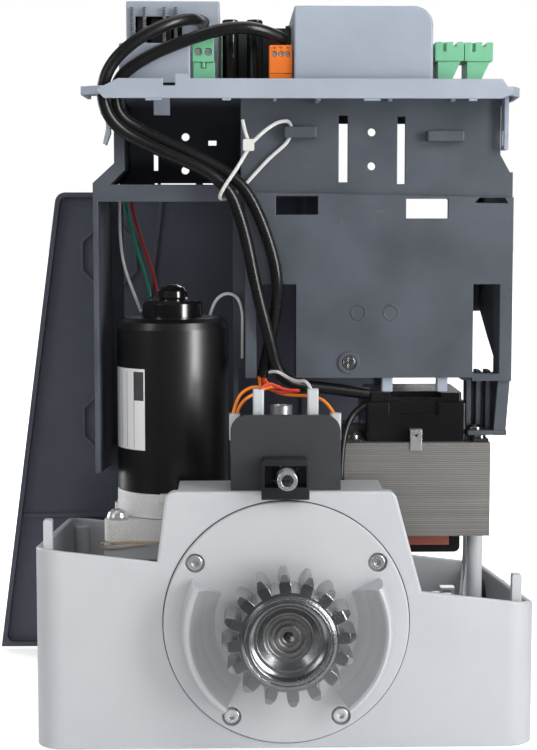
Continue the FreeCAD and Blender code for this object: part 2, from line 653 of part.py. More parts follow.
switches = []
blades = []
sleeves = []
for x0, x1 in ((-28.2, -3.4), (2.8, 27.6)):
    body = box(x0, x1, -96.9, -84.5, 150.2, 178.0)
    body = body.cut(cylY(x0 + 5, 156, -100, -80, 1.6)).cut(cylY(x1 - 5, 172, -100, -80, 1.6))
    body = softened(body, 1.0, lambda e: along(e, V(0, 1, 0)) and e.Length > 5)
    switches.append(body)
save("limit_switches", Part.makeCompound(switches))
for xc in (-15.2, 15.2):
    blades.append(box(xc - 2.4, xc + 2.4, -89.9, -89.1, 178.0, 184.0))
    sleeve = box(xc - 3.1, xc + 3.1, -92.4, -86.6, 179.4, 200.6)
    sleeve = softened(sleeve, 1.1, lambda e: along(e, V(0, 0, 1)))
    sleeve = sleeve.cut(box(xc - 2.42, xc + 2.42, -89.92, -89.08, 170, 185))
    sleeves.append(sleeve.cut(box(xc - 2.4, xc + 2.4, -92.0, -86.8, 194.0, 202.0)))
for xc in (-28.5, 28.5):
    inward = xc + 2.4 if xc < 0 else xc - 2.4
    foot = box(min(xc, inward), max(xc, inward), -84.5, -80.8, 164.0, 164.8)
    blades.append(foot.fuse(box(xc - 2.4, xc + 2.4, -81.6, -80.8, 164.0, 176.0)))
    sleeve = box(xc - 3.1, xc + 3.1, -84.1, -78.3, 171.0, 186.0)
    sleeve = softened(sleeve, 1.1, lambda e: along(e, V(0, 0, 1)))
    sleeve = sleeve.cut(box(xc - 2.42, xc + 2.42, -81.62, -80.78, 160, 176.1))
    sleeves.append(sleeve.cut(box(xc - 2.4, xc + 2.4, -83.4, -79.0, 181.0, 188.0)))
save("terminal_sleeves", Part.makeCompound(sleeves))

# ---------------------------------------------------------------- manual release
spindle = cylZ(-1.2, -50.0, 118.0, 181.5, 5.0)
spindle = spindle.fuse(cylZ(-1.2, -50.0, 181.5, 187.0, 6.4).cut(cylZ(-1.2, -50.0, 182.5, 190, 4.2)))
spindle = spindle.cut(cylY(0, axisZ, -99, 0, housingR - 0.001))
spindle = spindle.cut(cylY(0, axisZ, -99, 0, housingR))
save("vent_spindle", spindle.removeSplitter())

leverX = 22.0
leverPivotZ = 100.0
releaseBody = cylY(leverX, leverPivotZ, 22.0, 86.0, 5.0)
arm = prismY([(leverX + 9, leverPivotZ - 7), (leverX + 9, leverPivotZ + 7), (leverX - 50, leverPivotZ + 7.5),
              (leverX - 72, leverPivotZ + 8.5), (leverX - 72, leverPivotZ - 8.5),
              (leverX - 50, leverPivotZ - 7.5)], 85.5, 92.0)
arm = softened(arm, 5.0, lambda e: along(e, V(0, 1, 0)))
arm = softened(arm, 1.2, lambda e: e.BoundBox.YLength < 0.01)
save("release_lever", releaseBody.fuse(arm).removeSplitter())
support = box(leverX - 9, leverX + 9, 20.2, 28.0, 90, 112).fuse(box(leverX - 9, leverX + 9, 15.5, 20.2, 78, 112))
support = support.cut(cylY(leverX, leverPivotZ, 19, 30, 5.0 + runGap))
support = support.cut(cylY(0, axisZ, -10, 20.0, 31.05))
save("release_bush", support.removeSplitter())


# ---------------------------------------------------------------- transformer
core = box(coreX0, coreX1, coreY0, coreY1, coreZ0, coreZ1)
coilHalf = 27.5
core = core.cut(box(coilX - coilHalf, coilX + coilHalf, coreY0 + 12, coreY1 - 12, 100, 180).cut(
    box(coilX - 14, coilX + 14, -80, 60, 100, 180)))
for x in (coreX0 + 6.0, coreX1 - 6.0):
    for y in (coreY0 + 6.0, coreY1 - 6.0):
        core = core.cut(cylZ(x, y, 100, 180, 2.3))
save("transformer_core", core)

bobbin = box(coilX - coilHalf + 0.3, coilX + coilHalf - 0.3, coreY0 + 12.3, coreY1 - 12.3, coreZ0 - 12, 180.0)
bobbin = bobbin.cut(box(coilX - 14.2, coilX + 14.2, -80, 60, coreZ0 - 0.2, coreZ1 + 0.2))
bobbin = softened(bobbin, 3.5, lambda e: along(e, V(0, 1, 0)) and e.BoundBox.ZMax < 100)
coilTop = box(coilX - 29.6, coilX + 29.6, coreY0 + 6, coreY1 - 6, coreZ1 + 0.2, 188.6)
coilTop = softened(coilTop, 2.0, lambda e: along(e, V(0, 0, 1)) or (e.BoundBox.ZMin > 188 and e.Length > 20))
coilTop = coilTop.cut(box(coilX - 16, coilX + 13, coreY0 + 5, coreY0 + 8.5, 180.5, 190))
for k in range(5):
    x = coilX - 24 + 12 * k
    coilTop = coilTop.cut(box(x - 2.2, x + 2.2, coreY1 - 10, coreY1 - 5, 181, 190))
bobbin = bobbin.fuse(coilTop)
lid = box(coilX - 27, coilX + 27, coreY0 + 9, coreY1 - 9, 188.6, 193.4)
lid = softened(lid, 1.5, lambda e: along(e, V(0, 0, 1)))
lid = lid.cut(box(coilX - 15, coilX + 15, coreY0 + 8, coreY0 + 18, 190.4, 195))
bobbin = bobbin.fuse(lid)
bobbin = bobbin.cut(cylX(coilX - 30, coilX - 27.4, -43.4, 186.6, leadR + 0.5))
save("transformer_bobbin", bobbin.removeSplitter())

tape = box(coilX - 10.0, coilX + 20.5, coreY0 + 11.0, coreY0 + 12.0, coreZ0 - 7.4, coreZ0 - 0.2)
save("winding_tape", tape)

topPlate = box(coreX0 + 1, coreX0 + 10, coreY0 + 1, coreY1 - 1, coreZ1 + 0.05, coreZ1 + 2.0)
topPlate = topPlate.fuse(box(coreX0 + 1, coreX0 + 10, coreY0 + 14, coreY0 + 24, coreZ1 + 1, coreZ1 + 9))
topPlate = topPlate.fuse(box(coreX1 - 10, coreX1 - 1, coreY0 + 1, coreY1 - 1, coreZ1 + 0.05, coreZ1 + 2.0))
for x in (coreX0 + 6.0, coreX1 - 6.0):
    for y in (coreY0 + 6.0, coreY1 - 6.0):
        topPlate = topPlate.cut(cylZ(x, y, 160, 180, 2.3))
save("core_clamps", topPlate)

coreScrews = []
for x in (coreX0 + 6.0, coreX1 - 6.0):
    for y in (coreY0 + 6.0, coreY1 - 6.0):
        top = coreZ1 + 2.05
        head = revolved([(0, top), (4.0, top), (4.0, top + 2.0), (2.6, top + 3.4), (0, top + 3.6)],
                        V(x, y, 0), V(0, 0, 1), V(1, 0, 0))
        if x > coilX and y < coilY:
            head = head.cut(box(x - 5, x + 5, y - 5, y + 5, top + 2.0, top + 9))
        coreScrews.append(head.fuse(cylZ(x, y, coreZ0 + 2, top + 0.1, 2.25)))

tab = box(74.0, 81.0, coreY0 - 1.0, coreY0 - 0.1, coreZ1 - 4.5, coreZ1 + 8.0)
tab = tab.cut(cylY(77.5, coreZ1 + 4.4, -60, -40, 0.8))
tab = tab.fuse(box(74.0, 81.0, coreY0 - 1.0, coreY0 + 5.9, coreZ1 + 7.2, coreZ1 + 8.0))
save("faston_blades", Part.makeCompound(blades + [tab.removeSplitter()]))

clamp = box(103.0, 113.0, 26, 36, 52.1, 54.0)
clamp = clamp.fuse(box(103.5, 112.5, 27, 35, 54.0, 60.5)).cut(box(105.0, 111.0, 20, 40, 55.4, 59.0))
clamp = clamp.fuse(box(96.5, 104.0, 25.5, 34.5, 52.1, 54.0))
clamp = clamp.cut(cylZ(101.0, 30.0, 50, 60, 1.9))
clampScrew = cylZ(101.0, 30.0, 54.05, 57.0, 3.2).fuse(cylZ(101.0, 30.0, 46, 54.1, 1.85))
clampScrew = clampScrew.cut(box(97, 105, 29.5, 30.5, 56.0, 58))
save("earth_clamp", Part.makeCompound([clamp.removeSplitter(), clampScrew]))

gland = cylX(hw - 15, hw - wall - 0.05, glandY, glandZ, 14.5)
gland = gland.fuse(cylX(hw - wall - 0.1, hw + 6, glandY, glandZ, 9.9))
gland = gland.fuse(cylX(hw + 0.3, hw + 10, glandY, glandZ, 13.5))
gland = gland.cut(cylX(hw - 20, hw + 16, glandY, glandZ, 5.5))
for k in range(18):
    a = 20.0 * k
    nick = box(hw - 16, hw - 5.5, glandY + 13.6, glandY + 15.6, glandZ - 1, glandZ + 1)
    nick.rotate(V(hw - 10, glandY, glandZ), V(1, 0, 0), a)
    gland = gland.cut(nick)
save("cable_gland", gland.removeSplitter())

# ---------------------------------------------------------------- electronics frame
sideX = -109.8
t = 3.0
upper = prismY([(-24.5, 306), (-24.5, frameTop), (125.6, frameTop), (125.6, 332), (133.0, 318.8), (133.0, 306)],
               panelY, panelY + t)
lower = prismY([(-22.0, 203), (-22.0, 310.5), (133.0, 307.5), (133.0, 201), (110.0, 201), (110.0, 203)],
               lowerPanelY, lowerPanelY + t + 1.05)
lower = lower.cut(box(-15.6, 7.4, -60, -40, 200, 257.4))
lower = lower.cut(box(110.2, 125.8, -60, -40, 205.2, 257.4))
frameParts = [upper, lower]
# Skirt behind the lower panel
frameParts.append(box(7.4, 10.4, lowerPanelY + t, -30, 203, 257.4))
frameParts.append(box(107.2, 110.2, lowerPanelY + t, -30, 203, 257.4))
frameParts.append(box(7.4, 110.2, lowerPanelY + t, -34, 203, 206))
frameParts.append(box(-22.0, -19.0, lowerPanelY + t, -20, 203, 310))
frameParts.append(box(-18.6, -15.6, lowerPanelY + t, -36, 203, 257.4))
frameParts.append(box(-18.6, 10.4, lowerPanelY + t, -36, 257.4, 260.4))
# Right side wall and column
frameParts.append(prismX([(panelY, 201), (panelY, 322), (58, 322), (58, 240), (20, 222), (-30, 201)], 130.0, 133.0))
frameParts.append(box(125.8, 128.8, -50, -30, 201, 257.4))
frameParts.append(box(122.6, 125.6, panelY, 58, 322, frameTop))
frameParts.append(prismY([(122.6, 332), (125.6, 332), (133, 318.8), (133, 315), (130, 315)], panelY, 58))
frameParts.append(box(118, 133, 55, 58, 236, 330))
frameParts.append(box(118, 121, 44, 58, 236, 330))
# Right leg down to the transformer
frameParts.append(prismY([(132.8, 203), (125.8, 203), (123.4, 168.7), (130.4, 168.7)], -49, -46))
frameParts.append(prismY([(108.6, 203), (133.0, 203), (130.4, 168.7), (108.6, 168.7)], -30, -27))
for x in (108.8, 114.5, 120.2):
    frameParts.append(box(x, x + 2.6, -39, -27, 168.7, 206))
frameParts.append(box(108.4, 131.0, -50, -22, 169.0, 171.6))
frameParts.append(box(105.0, 133.0, -46, -24, 201, 204))
frameParts.append(prismX([(-49, 171), (-49, 203), (-27, 203), (-27, 171)], 127.4, 130.2))
# Shelf, left column and back wall
frameParts.append(box(sideX, -24.5, panelY, 62, 311.8, 314.8).cut(box(-104.0, -85.0, 12, 34, 310, 316)))
frameParts.append(box(sideX, -22.0, panelY, panelY + t, 305.0, 314.8))
frameParts.append(box(sideX, sideX + t, panelY, 60, 147, 314.8))
frameParts.append(prismX([(panelY, 147), (58, 137), (58, 160), (panelY, 160)], sideX, sideX + t))
frameParts.append(box(sideX, -99.0, 57, 60, 137, 314.8))
frameParts.append(prismX([(20, 314), (60, 314), (60, 286), (52, 300), (38, 309)], -107, -104))
frameParts.append(box(-106.9, -99.6, 28, 48, 20.2, 150))
frameParts.append(box(-109.8, -99.6, 28, 60, 137, 150))
frameParts.append(box(-101.6, 30.0, 60, 63, 314.0, frameTop))
frameParts.append(prismY([(sideX, 311.8), (sideX, 315.6), (-97.4, 327.0), (-97.4, frameTop), (-94.4, frameTop),
                          (-94.4, 325.0), (-105.0, 314.8), (-105.0, 311.8)], panelY, 63))
frameParts.append(prismY([(-109.8, 314.8), (-97.4, 327.0), (-97.4, frameTop), (-91.4, frameTop), (-91.4, 323.0),
                          (-99.6, 314.8)], panelY, panelY + t))
frameParts.append(box(-24.5, -21.5, panelY, 63, 306, frameTop))
frameParts.append(box(122.6, 125.6, 55, 63, 322, frameTop))
frameParts.append(box(30.0, 125.6, 60, 63, 356.0, frameTop))
# Lower left flange behind the motor
frameParts.append(box(-28.5, -19.0, -18, -15, 206, 310))
frameParts.append(prismX([(-18, 150), (-4, 150), (14, 240), (14, 311.8), (-18, 311.8)], -29.0, -26.0))
# Hinge arm of the rear door
arm = union([box(118, 121, 44, 104, 244, 268), box(86, 121, 101, 104, 244, 268),
             box(hingeX - 3.5, hingeX + 3.5, 101, hingeY, 244, 268), cylZ(hingeX, hingeY, 244, 268, 5.5)])
arm = arm.cut(cylZ(hingeX, hingeY, 240, 270, 3.0 + runGap))
frameParts.append(arm)
frame = union(frameParts)
# Slots, windows and holes
frame = frame.cut(box(32.0, 37.2, -60, 0, 316.2, 354.4))
frame = frame.cut(box(65.8, 70.4, -60, 0, 315.2, 353.8))
for z in (344.8, 325.4):
    frame = frame.cut(cylY(51.0, z, -60, 0, 2.3))
frame = frame.cut(box(-4.3, 20.0, -60, -40, 297.5, 308.2))
frame = frame.cut(box(70.8, 95.2, -60, -40, 295.4, 306.7))
frame = frame.cut(prismY([(110.6, 304.4), (130.0, 304.0), (128.0, 307.3), (113.0, 307.3)], -60, -40))
for x, z in ((-59.0, 347.4), (-59.2, 326.2)):
    frame = frame.cut(cylY(x, z, 50, 70, 2.5))
frame = frame.cut(box(-79.4, -76.6, 50, 70, 326.0, 342.0))
frame = frame.cut(box(-44.4, -39.2, 50, 70, 342.0, 345.2))
for x0, x1 in ((-80.6, -77.0), (-75.0, -51.2), (-48.0, -41.2)):
    frame = frame.cut(box(x0, x1, 50, 70, 314.9, 318.0))
frame = frame.cut(box(50, 62, 50, 70, 320, 340))
# Raised ring and bridges
ringBoss = cylY(38.2, 212.0, lowerPanelY - 1.4, lowerPanelY + 1, 6.2)
ringBoss = ringBoss.cut(cylY(38.2, 212.0, lowerPanelY - 3, lowerPanelY + 0.2, 4.4))
frame = frame.fuse(ringBoss)
for x, z in ((43.5, 241.0), (62.5, 241.0)):
    mark = cylY(x, z, lowerPanelY - 0.4, lowerPanelY + 0.5, 4.6).cut(cylY(x, z, lowerPanelY - 1, lowerPanelY + 1, 3.8))
    frame = frame.fuse(mark)
for x0, x1, z0, z1 in ((0.0, 19.2, 341.4, 347.6), (82.4, 104.0, 339.4, 345.2)):
    bridge = box(x0, x1, panelY - 7.0, panelY + 0.2, z0, z1)
    bridge = softened(bridge, 1.2, lambda e: along(e, V(0, 0, 1)) and e.BoundBox.YMax < panelY)
    bridge = bridge.cut(box(x0 + 1.8, x1 - 1.8, panelY - 4.6, panelY, z0 - 1, z1 + 1))
    frame = frame.fuse(bridge)
for x in (-80.0, -50.2):
    hook = prismX([(40, 314.5), (42.2, 314.5), (42.2, 321.2), (38, 321.2), (38, 319.6), (40, 319.6)], x - 2.0, x + 2.0)
    frame = frame.fuse(hook)
save("electronics_frame", frame.removeSplitter())

pegs = []
for x in (57.8, 90.0):
    peg = box(x, x + 6.4, -48.0, -41.0, 194.6, 202.8)
    pegs.append(softened(peg, 1.0, lambda e: along(e, V(0, 0, 1))))
save("locating_pegs", Part.makeCompound(pegs))

frameScrews = []
legHead = revolved([(0, 171.7), (4.4, 171.7), (4.4, 173.2), (2.8, 174.8), (0, 175.2)], V(113.2, -44.0, 0), V(0, 0, 1), V(1, 0, 0))
ringHead = cylY(38.2, 212.0, lowerPanelY - 1.0, lowerPanelY - 0.02, 3.6).cut(
    box(37.6, 38.8, -54, lowerPanelY - 0.5, 209, 215)).cut(box(35, 41, -54, lowerPanelY - 0.5, 211.4, 212.6))
save("frame_screws", Part.makeCompound(coreScrews + [legHead, ringHead]))

# ---------------------------------------------------------------- control tray
trayOutline = [(-102.5, -80), (119.5, -80), (127.0, -79), (132.6, -68), (134.6, -40), (134.6, 66),
               (-104.0, 66), (-104.0, -34), (-113.0, -38), (-114.0, -72), (-104.5, -79)]
trayT = 2.6
tray = prismZ(trayOutline, 366.0, 366.0 + trayT)
lipTop = 370.4
lipLow = 361.8
tray = tray.fuse(prismY([(-104.5, 365.6), (-100.5, 361.8), (121.0, 361.8), (127.0, 364.4), (121.0, 372.6),
                         (-61.0, 372.6), (-61.0, 367.2), (-67.8, 367.2), (-67.8, 372.6), (-92.6, 372.6),
                         (-104.5, 366.6)], -80, -77.4))
tray = tray.fuse([prismY([(-61.0, 372.0), (-52.6, 372.0), (-52.6, 375.2), (-61.0, 375.2)], -80, -77.4)])
for a, b in (((-113.0, -38), (-114.0, -72)), ((134.6, 66), (134.6, -40)), ((132.6, -68), (127.0, -79)),
             ((134.6, -40), (132.6, -68)), ((-104.0, 66), (-104.0, -34)), ((-114.0, -72), (-104.5, -79))):
    dx = b[0] - a[0]
    dy = b[1] - a[1]
    n = math.hypot(dx, dy)
    px = -dy / n * 2.2
    py = dx / n * 2.2
    if px * (a[0] - 10) > 0:
        px = -px
        py = -py
    low = 363.4 if a[0] > 0 else 364.0
    tray = tray.fuse(prismZ([a, b, (b[0] + px, b[1] + py), (a[0] + px, a[1] + py)], low, 368.6))
tray = tray.fuse(box(-104.0, 134.6, 63.6, 66, 362, 368.6))
tray = tray.cut(prismZ([(-110.8, -70.0), (-104.0, -75.6), (-89.6, -75.6), (-88.0, -56.5), (-110.2, -56.5)],
                      350, 369))
for x in (-70.0, 20.0, 96.0):
    for y in (-40.0, 46.0):
        tray = tray.fuse(cylZ(x, y, 367, boardZ - 0.1, 3.4))
# Snap tabs seen under the lip and beneath the deck
for x0, x1 in ((-77.6, -68.4), (-35.0, -30.2), (44.0, 53.0), (102.6, 107.0)):
    tray = tray.fuse(box(x0, x1, -79.4, -76.0, 360.6, 362.4))
tray = tray.fuse(box(-75.6, -66.0, -22, -19.4, 356.0, 366.4))
for x in (-6.0, 18.0, 60.0, 96.0):
    tray = tray.fuse(box(x, x + 2.0, -56, 50, 362.2, 366.4) if x < 0 or x > 20 else box(x, x + 2.0, -74, -50, 361.0, 366.4))
tray = tray.cut(box(-24.6, 125.7, panelY - 0.3, panelY + t + 0.3, 361.0, 366.0))
tray = tray.cut(box(-24.8, -21.2, -60, 70, 361.0, 366.0)).cut(box(30, 130, 59.7, 63.3, 361, 366.0))
tray = tray.cut(box(122.3, 125.9, -60, 70, 361.0, 366.0))
# Latch tongue on the left and loop on the right
tongue = prismY([(-103.6, 366.2), (-98.2, 366.2), (-98.2, 346.0), (-101.6, 337.0), (-103.2, 338.0),
                 (-101.4, 346.0), (-101.4, 354.0), (-104.4, 354.6), (-104.4, 357.6), (-103.6, 358.0)], -54, -44)
tray = tray.fuse(tongue.cut(box(-99, -90, -60, -40, 300, 363)))
loop = box(126.4, 128.8, -56, -44, 334.6, 366.4).cut(box(120, 135, -53, -47, 337, 346))
tray = tray.fuse(loop)
tray = tray.cut(box(-97.5, -91.0, -60, 70, 361.0, 366.0))
save("control_tray", tray.removeSplitter())

board = box(-94.0, 121.0, -56, 54, boardZ, boardZ + boardT)
board = board.cut(box(-96, -84, -60, -50, 369, 373))
boardTop = boardZ + boardT

# ---------------------------------------------------------------- covers on the board
def shell(x0, x1, y0, y1, z0, z1, w, r):
    body = box(x0, x1, y0, y1, z0, z1)
    body = softened(body, r, lambda e: along(e, V(0, 0, 1)) or e.BoundBox.ZMin > z1 - 0.1)
    return body.cut(box(x0 + w, x1 - w, y0 + w, y1 - w, z0 - 1, z1 - w))


leftX0 = -90.6
leftX1 = -36.4
leftY0 = -36.0
leftCover = shell(leftX0, leftX1, leftY0, 46.0, boardTop + 0.1, 420.4, 2.4, 1.2)
leftCover = leftCover.cut(box(-85.2, -58.2, leftY0 - 1, leftY0 + 4, 396.2, 411.6))
leftCover = leftCover.cut(box(-60, -56.8, leftY0 - 1, leftY0 + 4, 407.0, 411.6))
leftCover = leftCover.cut(cylY(-46.4, 408.0, leftY0 - 1, leftY0 + 4, cableR + 0.3))
step = box(-93.4, -53.0, -59.6, leftY0 + 1, boardTop + 0.1, 394.0)
step = softened(step, 1.0, lambda e: along(e, V(0, 0, 1)) or e.BoundBox.ZMin > 393.9)
step = step.cut(box(-91.2, -55.2, -57.4, leftY0 + 0.5, 360, 391.8))
step = step.cut(box(-95, -90, -52, -40, 360, 374))
leftCover = leftCover.fuse(step).cut(box(-88.1, -55.3, -40, -32, 360, 391.8))
save("left_cover", leftCover.removeSplitter())

pins = []
for x in (-87.0, -79.8, -68.4, -61.8):
    pin = box(x - 0.9, x + 0.9, leftY0 - 3.2, leftY0 - 0.1, 394.1, 416.6)
    pins.append(softened(pin, 0.5, lambda e: along(e, V(0, 1, 0)) and e.BoundBox.ZMin > 416))
save("heat_sink_pins", Part.makeCompound(pins))

blackRelay = roundedBox(-84.6, -78.9, -31, -6, boardTop, 413.0, 0.8, V(0, 0, 1))
blueRelay = roundedBox(-76.4, -64.4, -31, -10, boardTop, 411.2, 0.8, V(0, 0, 1))
whiteFuse = cylZ(-60.4, -26.0, boardTop, 411.4, 2.9)
save("board_relays", Part.makeCompound([blackRelay, blueRelay, whiteFuse]))

rightX0 = 5.6
rightX1 = 84.4
rightCover = box(rightX0, rightX1, -62, 48, boardTop + 0.1, 414.8)
rightCover = softened(rightCover, 11.0, lambda e: along(e, V(0, 1, 0)) and e.BoundBox.XMin > 80
                      and e.BoundBox.ZMin > 400)
rightCover = softened(rightCover, 1.4, lambda e: (e.BoundBox.YMax < -61.9 or e.BoundBox.XMax < rightX0 + 0.1)
                      and e.BoundBox.ZMax > 380)
hollow = box(rightX0 + 2.2, rightX1 - 2.2, -59.8, 45.8, 360, 412.4)
hollow = softened(hollow, 9.0, lambda e: along(e, V(0, 1, 0)) and e.BoundBox.XMin > 80 and e.BoundBox.ZMin > 400)
rightCover = rightCover.cut(hollow)
for k in range(6):
    rightCover = rightCover.cut(box(20 + 8 * k, 24 + 8 * k, 44, 50, 384, 404))
save("right_cover", rightCover)
inductor = cylZ(45, -5, boardTop, 398, 16).cut(cylZ(45, -5, 370, 400, 6))
save("ring_inductor", inductor)

caps = []
for x in (-30.2, -16.0):
    can = cylZ(x, -20.0, boardTop, 411.6, 4.9)
    can = softened(can, 1.0, lambda e: e.BoundBox.ZMin > 411)
    can = can.cut(cylZ(x, -20.0, 411.2, 412, 3.6))
    groove = cylZ(x, -20.0, 375.0, 376.0, 6).cut(cylZ(x, -20.0, 375.0, 376.0, 4.5))
    caps.append(can.cut(groove))
save("capacitors", Part.makeCompound(caps))

daughter = box(-36.3, -35.2, -40.0, 0.0, boardTop + 0.05, 403.0)
save("circuit_boards", Part.makeCompound([board, daughter]))

divider = box(-34.0, 5.2, 24, 27, boardTop + 0.05, 412.0)
divider = divider.fuse([box(-34.0, -31.4, 10, 25, boardTop + 0.05, 409.0), box(2.6, 5.2, -14, 25, boardTop + 0.05, 409.0)])
save("board_divider", divider.removeSplitter())


def terminalBlock(x0, pitch, ways, yFront, z0, zTop, screwR):
    width = pitch * ways + 1.0
    header = box(x0 + 0.4, x0 + width + 0.6, yFront + 1.6, yFront + 12.0, z0, z0 + 11.6)
    header = header.cut(box(x0 + width / 2 - 1.0, x0 + width / 2 + 1.6, yFront, yFront + 3.0, z0 + 8.0, z0 + 12.0))
    header = softened(header, 0.5, lambda e: along(e, V(0, 0, 1)))
    plug = box(x0, x0 + width, yFront, yFront + 12.4, z0 + 11.7, zTop)
    plug = plug.fuse(box(x0 + width / 2 - 0.7, x0 + width / 2 + 1.2, yFront + 0.6, yFront + 3.0,
                         z0 + 8.6, z0 + 12.0))
    plug = softened(plug, 0.6, lambda e: along(e, V(0, 0, 1)) or e.BoundBox.ZMin > zTop - 0.1)
    screws = []
    for k in range(ways):
        xc = x0 + 0.5 + pitch * (k + 0.5)
        zc = z0 + 17.4
        plug = plug.cut(cylY(xc, zc, yFront - 1, yFront + 4.0, screwR + 0.25))
        plug = plug.cut(box(xc - 1.5, xc + 1.5, yFront + 4.5, yFront + 8.5, zTop - 6, zTop + 1))
        screw = cylY(xc, zc, yFront + 0.9, yFront + 3.9, screwR)
        screw = screw.cut(box(xc - screwR, xc + screwR, yFront, yFront + 1.6, zc - 0.35, zc + 0.35))
        screws.append(screw)
    return header, plug, screws


header, plug, screwsL = terminalBlock(-51.9, 5.6, 2, -59.0, boardTop + 0.05, 397.4, 1.9)

orangeBody = box(-8.4, 4.8, -58.0, -45.0, boardTop + 0.05, 393.2)
orangeBody = softened(orangeBody, 0.6, lambda e: along(e, V(0, 0, 1)) or e.BoundBox.ZMin > 393)
orangeBody = orangeBody.cut(box(-9, 6, -58.4, -57.2, 376.8, 377.3))
screwsO = []
for k in range(3):
    xc = -5.6 + 3.8 * k
    orangeBody = orangeBody.cut(cylY(xc, 388.2, -59, -55.2, 1.6))
    orangeBody = orangeBody.cut(cylZ(xc, -50.0, 386.0, 394, 1.35))
    orangeBody = orangeBody.cut(box(xc - 0.8, xc + 0.8, -58.5, -57.0, 391.2, 392.0))
    screw = cylY(xc, 388.2, -57.4, -55.3, 1.4).cut(box(xc - 1.5, xc + 1.5, -58, -56.8, 387.9, 388.5))
    screwsO.append(screw)
save("orange_terminal", orangeBody)
save("terminal_screws", Part.makeCompound(screwsL + screwsO))


def sidePlug(x0, yFront):
    # Upright header foot with a wide plug on top, leaning out to the right.
    foot = box(x0 + 1.6, x0 + 9.0, yFront + 1.0, yFront + 24, boardTop + 0.05, 384.6)
    foot = foot.fuse(prismY([(x0 + 8.9, 372.4), (x0 + 14.6, 384.6), (x0 + 8.9, 384.6)], yFront + 1.0, yFront + 24))
    top = box(x0, x0 + 16.2, yFront, yFront + 25, 384.7, 395.4)
    top = top.cut(box(x0 + 4.2, x0 + 6.2, yFront - 1, yFront + 3, 390.0, 396))
    top = top.cut(box(x0 + 10.2, x0 + 12.4, yFront - 1, yFront + 26, 392.6, 396))
    top = softened(top, 0.6, lambda e: along(e, V(0, 1, 0)))
    for k in range(4):
        y = yFront + 4.0 + 5.6 * k
        top = top.cut(cylZ(x0 + 8.0, y, 391.0, 396, 1.5))
        top = top.cut(box(x0 + 13.6, x0 + 17, y - 1.4, y + 1.4, 386.6, 390.4))
    return foot, top


feet = []
tops = []
for x0 in (86.4, 103.4):
    foot, top = sidePlug(x0, -56.0 if x0 < 100 else -54.0)
    feet.append(foot)
    tops.append(top)
save("terminal_headers", Part.makeCompound([header] + feet))
save("terminal_plugs", Part.makeCompound([plug] + tops))

# ---------------------------------------------------------------- cables and wires
supply = [(-46.4, -34.8, 408.0), (-47.5, -52.0, 408.5), (-60.0, -66.0, 406.0), (-80.0, -71.0, 397.0),
          (-97.5, -71.0, 382.0), (-103.2, -70.0, 364.5), (-97.0, -67.0, 347.8), (-78.0, -62.5, 336.5),
          (-33.5, -61.5, 318.5), (-22.5, -60.5, 290.0), (-16.0, -58.5, 256.0), (-8.5, -55.0, 228.0),
          (-1.6, -47.5, 199.2), (28.6, -42.6, 196.0), (50.6, -40.2, 192.5)]
supplyCable = tube(supply, cableR, "supply")
save("supply_cable", supplyCable)
signal = [(0.6, -50.6, 396.8), (-12.0, -61.0, 402.0), (-32.0, -65.0, 402.4), (-60.0, -64.5, 393.5),
          (-81.0, -64.0, 384.0), (-95.3, -64.0, 372.5), (-95.6, -60.5, 354.5), (-80.5, -56.2, 344.6),
          (-50.0, -55.6, 331.0), (-24.0, -55.6, 317.0), (-10.5, -56.4, 290.0), (-2.2, -57.6, 259.0),
          (-6.2, -45.6, 230.0), (-11.8, -44.2, 203.6)]
signalCable = tube(signal, cableR, "signal")
save("signal_cable", signalCable)

# Sensor lead from the transformer down to the gearbox housing
leadRoute = [(49.2, -43.0, 186.6), (42.5, -48.5, 184.0), (36.0, -55.0, 174.0), (33.4, -59.5, 158.0),
             (33.0, -60.5, 136.0), (33.0, -60.5, leadEndZ)]
save("transformer_lead", tube(leadRoute, leadR, "lead"))

motorRed = [(-92.0, 59.8, 315.9), (-92.0, 42.0, 315.9), (-91.9, 25.0, 315.9), (-91.6, 22.6, 302.0),
            (-86.6, 18.4, 286.0), (-81.2, 12.0, 272.0), (-76.2, 1.6, 258.0), (-74.4, -11.6, 248.6)]
motorGreen = [(-95.4, 59.8, 315.9), (-95.4, 42.0, 315.9), (-95.4, 25.0, 315.9), (-95.2, 22.2, 302.0),
              (-91.0, 18.0, 286.0), (-85.6, 10.8, 270.0), (-80.4, -3.0, 255.0), (-78.4, -16.8, 248.2)]
motorWhite = [(-98.8, 59.8, 315.9), (-98.8, 42.0, 315.9), (-98.9, 25.0, 315.9), (-98.9, 21.0, 302.0),
              (-98.6, 17.2, 286.0), (-96.6, 12.0, 268.0), (-90.4, 3.0, 252.0), (-84.4, -8.0, 238.6)]
motorLoop = [(-42.8, -24.6, 238.0), (-40.4, -24.4, 246.6), (-33.6, -23.6, 251.6), (-26.4, -22.6, 249.4),
             (-23.3, -21.9, 240.6), (-23.5, -21.7, 229.0), (-23.6, -21.7, 212.0)]
motorRoutes = {"red": motorRed, "green": motorGreen, "white": motorWhite, "loop": motorLoop}
save("motor_wires", Part.makeCompound([tube(motorRoutes[k], wireR, k) for k in motorRoutes]))

